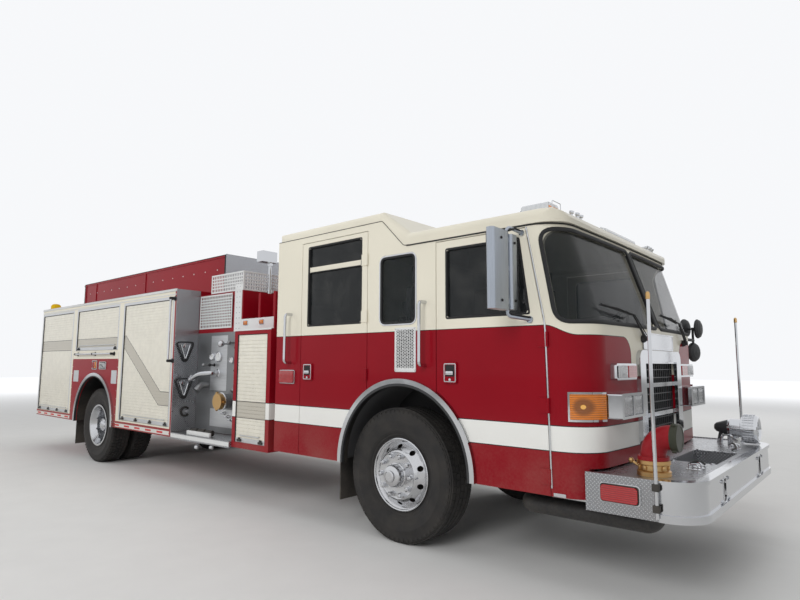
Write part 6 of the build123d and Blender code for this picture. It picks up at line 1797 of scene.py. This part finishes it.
def pale_material(name, colour):
    """Matt floor that runs into the backdrop's colour far off, where the camera sees it."""
    finish = Finish(name, Roughness=0.9, Emission_Strength=1.0)
    grain = finish.grade(finish.noise(3.0, 3.0), 0.3, 0.7)
    tone = finish.blend(grain, dimmed(colour, 0.97), tuple(colour))
    seen = Value(finish, finish.add("ShaderNodeLightPath").outputs["Is Camera Ray"])
    fade = finish.grade(finish.x * finish.x + finish.y * finish.y, 80, 700) * seen
    return finish.wire(Base_Color=finish.blend(fade, tone, (0, 0, 0)),
        Emission_Color=finish.blend(fade, (0, 0, 0), BACKDROP))


def area_lamp(name, place, target, power, size):
    """Soft square lamp aimed at a point."""
    data = bpy.data.lights.new(name, "AREA")
    data.energy = power
    data.size = size
    lamp = bpy.data.objects.new(name, data)
    lamp.matrix_world = frame_at(Vector(place), Vector(place) - Vector(target))
    lamp.visible_glossy = False
    bpy.context.scene.collection.objects.link(lamp)


class FIREENGINE_OT_stage(bpy.types.Operator):
    """Build the floor, the lamps and the camera"""

    bl_idname = "fireengine.stage"
    bl_label = "Stage"

    def execute(self, context):
        s = context.scene.engine_stage
        bm = bmesh.new()
        bmesh.ops.create_grid(bm, x_segments=1, y_segments=1, size=60)
        FINISHES["floor"] = pale_material("pale floor", s.floor)
        mesh_object("floor", bm, "floor")
        world = bpy.data.worlds.new("studio")
        world.use_nodes = True
        tree, white = world.node_tree, (1, 1, 1, 1)
        plain = tree.nodes["Background"]
        plug(tree, plain.inputs["Color"], white)
        plug(tree, plain.inputs["Strength"], s.sky)
        seen = add_node(tree, "ShaderNodeBackground", None, {"Color": (*BACKDROP, 1), "Strength": 1.0})
        path = add_node(tree, "ShaderNodeLightPath").outputs
        total = path["Is Camera Ray"]
        for kind in ("Is Transmission Ray", "Is Glossy Ray"):
            total = add_node(tree, "ShaderNodeMath", {"operation": "MAXIMUM"}, {0: total, 1: path[kind]}).outputs[0]
        mix = add_node(tree, "ShaderNodeMixShader", None, {0: total, 1: plain.outputs[0], 2: seen.outputs[0]})
        plug(tree, tree.nodes["World Output"].inputs["Surface"], mix.outputs[0])
        context.scene.world = world
        for name, place, aim, power, size in (("key", (7, -14, 9), 1.2, 1.15, 7), ("fill", (-11, -11, 6), 1, 0.45, 8),
                ("far side", (2, 14, 9), 1, 0.5, 9), ("top", (0, 0, 13), 0, 0.45, 12)):
            area_lamp(name, place, (0, 0, aim), s.key * power, size)
        data = bpy.data.cameras.new("camera")
        data.lens = s.lens
        data.sensor_width = 36
        data.clip_end = 300
        camera = bpy.data.objects.new("camera", data)
        look = Vector((-math.sin(s.camera_yaw) * math.cos(s.camera_pitch),
            math.cos(s.camera_yaw) * math.cos(s.camera_pitch), math.sin(s.camera_pitch)))
        right = Vector((math.cos(s.camera_yaw), math.sin(s.camera_yaw), 0))
        up = right.cross(look)
        c, r = math.cos(s.camera_roll), math.sin(s.camera_roll)
        right, up = right * c + up * r, up * c - right * r
        turn = Matrix((right, up, -look)).transposed().to_4x4()
        camera.matrix_world = Matrix.Translation(s.camera_place) @ turn
        context.scene.collection.objects.link(camera)
        context.scene.camera = camera
        context.scene.view_settings.view_transform = "Standard"
        return {"FINISHED"}


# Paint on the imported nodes


class PaintSettings(bpy.types.PropertyGroup):
    """Colours of the coachwork."""

    red: FloatVectorProperty(name="Red", description="Main coach colour", subtype="COLOR",
        default=(0.27, 0.004, 0.012))
    cream: FloatVectorProperty(name="Cream", description="Upper cab and body colour", subtype="COLOR",
        default=(0.8, 0.76, 0.64))
    stripe: FloatVectorProperty(name="Stripe", description="Stripe along the cab", subtype="COLOR",
        default=(0.83, 0.83, 0.8))
    shutter: FloatVectorProperty(name="Roll-up doors", description="Colour of the roll-up doors", subtype="COLOR",
        default=(0.82, 0.79, 0.69))
    band: FloatVectorProperty(name="Door band", description="Band across the roll-up doors", subtype="COLOR",
        default=(0.52, 0.49, 0.42))


class LevelSettings(bpy.types.PropertyGroup):
    """Heights at which the colours change."""

    belt: FloatProperty(name="Belt", description="Where red meets cream on the cab", default=1.709, unit="LENGTH")
    stripe_low: FloatProperty(name="Stripe foot", description="Lower edge of the stripe", default=0.879, unit="LENGTH")
    stripe_high: FloatProperty(name="Stripe top", description="Upper edge of the stripe", default=1.039, unit="LENGTH")


class FIREENGINE_OT_paint(bpy.types.Operator):
    """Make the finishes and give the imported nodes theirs"""

    bl_idname = "fireengine.paint"
    bl_label = "Paint"

    def execute(self, context):
        make_finishes(context.scene.engine_paint, context.scene.engine_levels)
        for finish, names in NODE_FINISH.items():
            for name in names:
                mesh = NODES[name].data
                mesh.materials.clear()
                mesh.materials.append(FINISHES[finish])
        return {"FINISHED"}


class FIREENGINE_PT_panel(bpy.types.Panel):
    """Lists every step of the build"""

    bl_label = "Fire engine"
    bl_idname = "FIREENGINE_PT_panel"
    bl_space_type = "VIEW_3D"
    bl_region_type = "UI"
    bl_category = "Fire engine"

    def draw(self, context):
        for step in STEPS:
            self.layout.operator(step.bl_idname)


SETTINGS = {"engine_stage": StageSettings, "engine_paint": PaintSettings, "engine_levels": LevelSettings,
    "engine_tyres": TyreSettings, "engine_doors": DoorSettings}
STEPS = (FIREENGINE_OT_paint, FIREENGINE_OT_tyres, FIREENGINE_OT_front_rims, FIREENGINE_OT_wheel_trim,
    FIREENGINE_OT_screen_trim, FIREENGINE_OT_side_vents, FIREENGINE_OT_guards, FIREENGINE_OT_wipers,
    FIREENGINE_OT_head_lamps, FIREENGINE_OT_nose_trim, FIREENGINE_OT_cab_trim, FIREENGINE_OT_mirror_trim,
    FIREENGINE_OT_deck_fittings, FIREENGINE_OT_suction_trim, FIREENGINE_OT_siren_trim, FIREENGINE_OT_roof_lamps,
    FIREENGINE_OT_roll_up_doors, FIREENGINE_OT_body_trim, FIREENGINE_OT_hose_bed_trim, FIREENGINE_OT_pump_bay,
    FIREENGINE_OT_rear_trim, FIREENGINE_OT_seats, FIREENGINE_OT_dash, FIREENGINE_OT_stage)


CLASSES = (*SETTINGS.values(), *STEPS, FIREENGINE_PT_panel)


def register():
    for item in CLASSES:
        bpy.utils.register_class(item)
    for name, group in SETTINGS.items():
        setattr(bpy.types.Scene, name, PointerProperty(type=group))


def unregister():
    for name in SETTINGS:
        delattr(bpy.types.Scene, name)
    for item in reversed(CLASSES):
        bpy.utils.unregister_class(item)


def main():
    register()
    for step in STEPS:
        space, name = step.bl_idname.split(".")
        getattr(getattr(bpy.ops, space), name)()


if __name__ == "__main__":
    main()
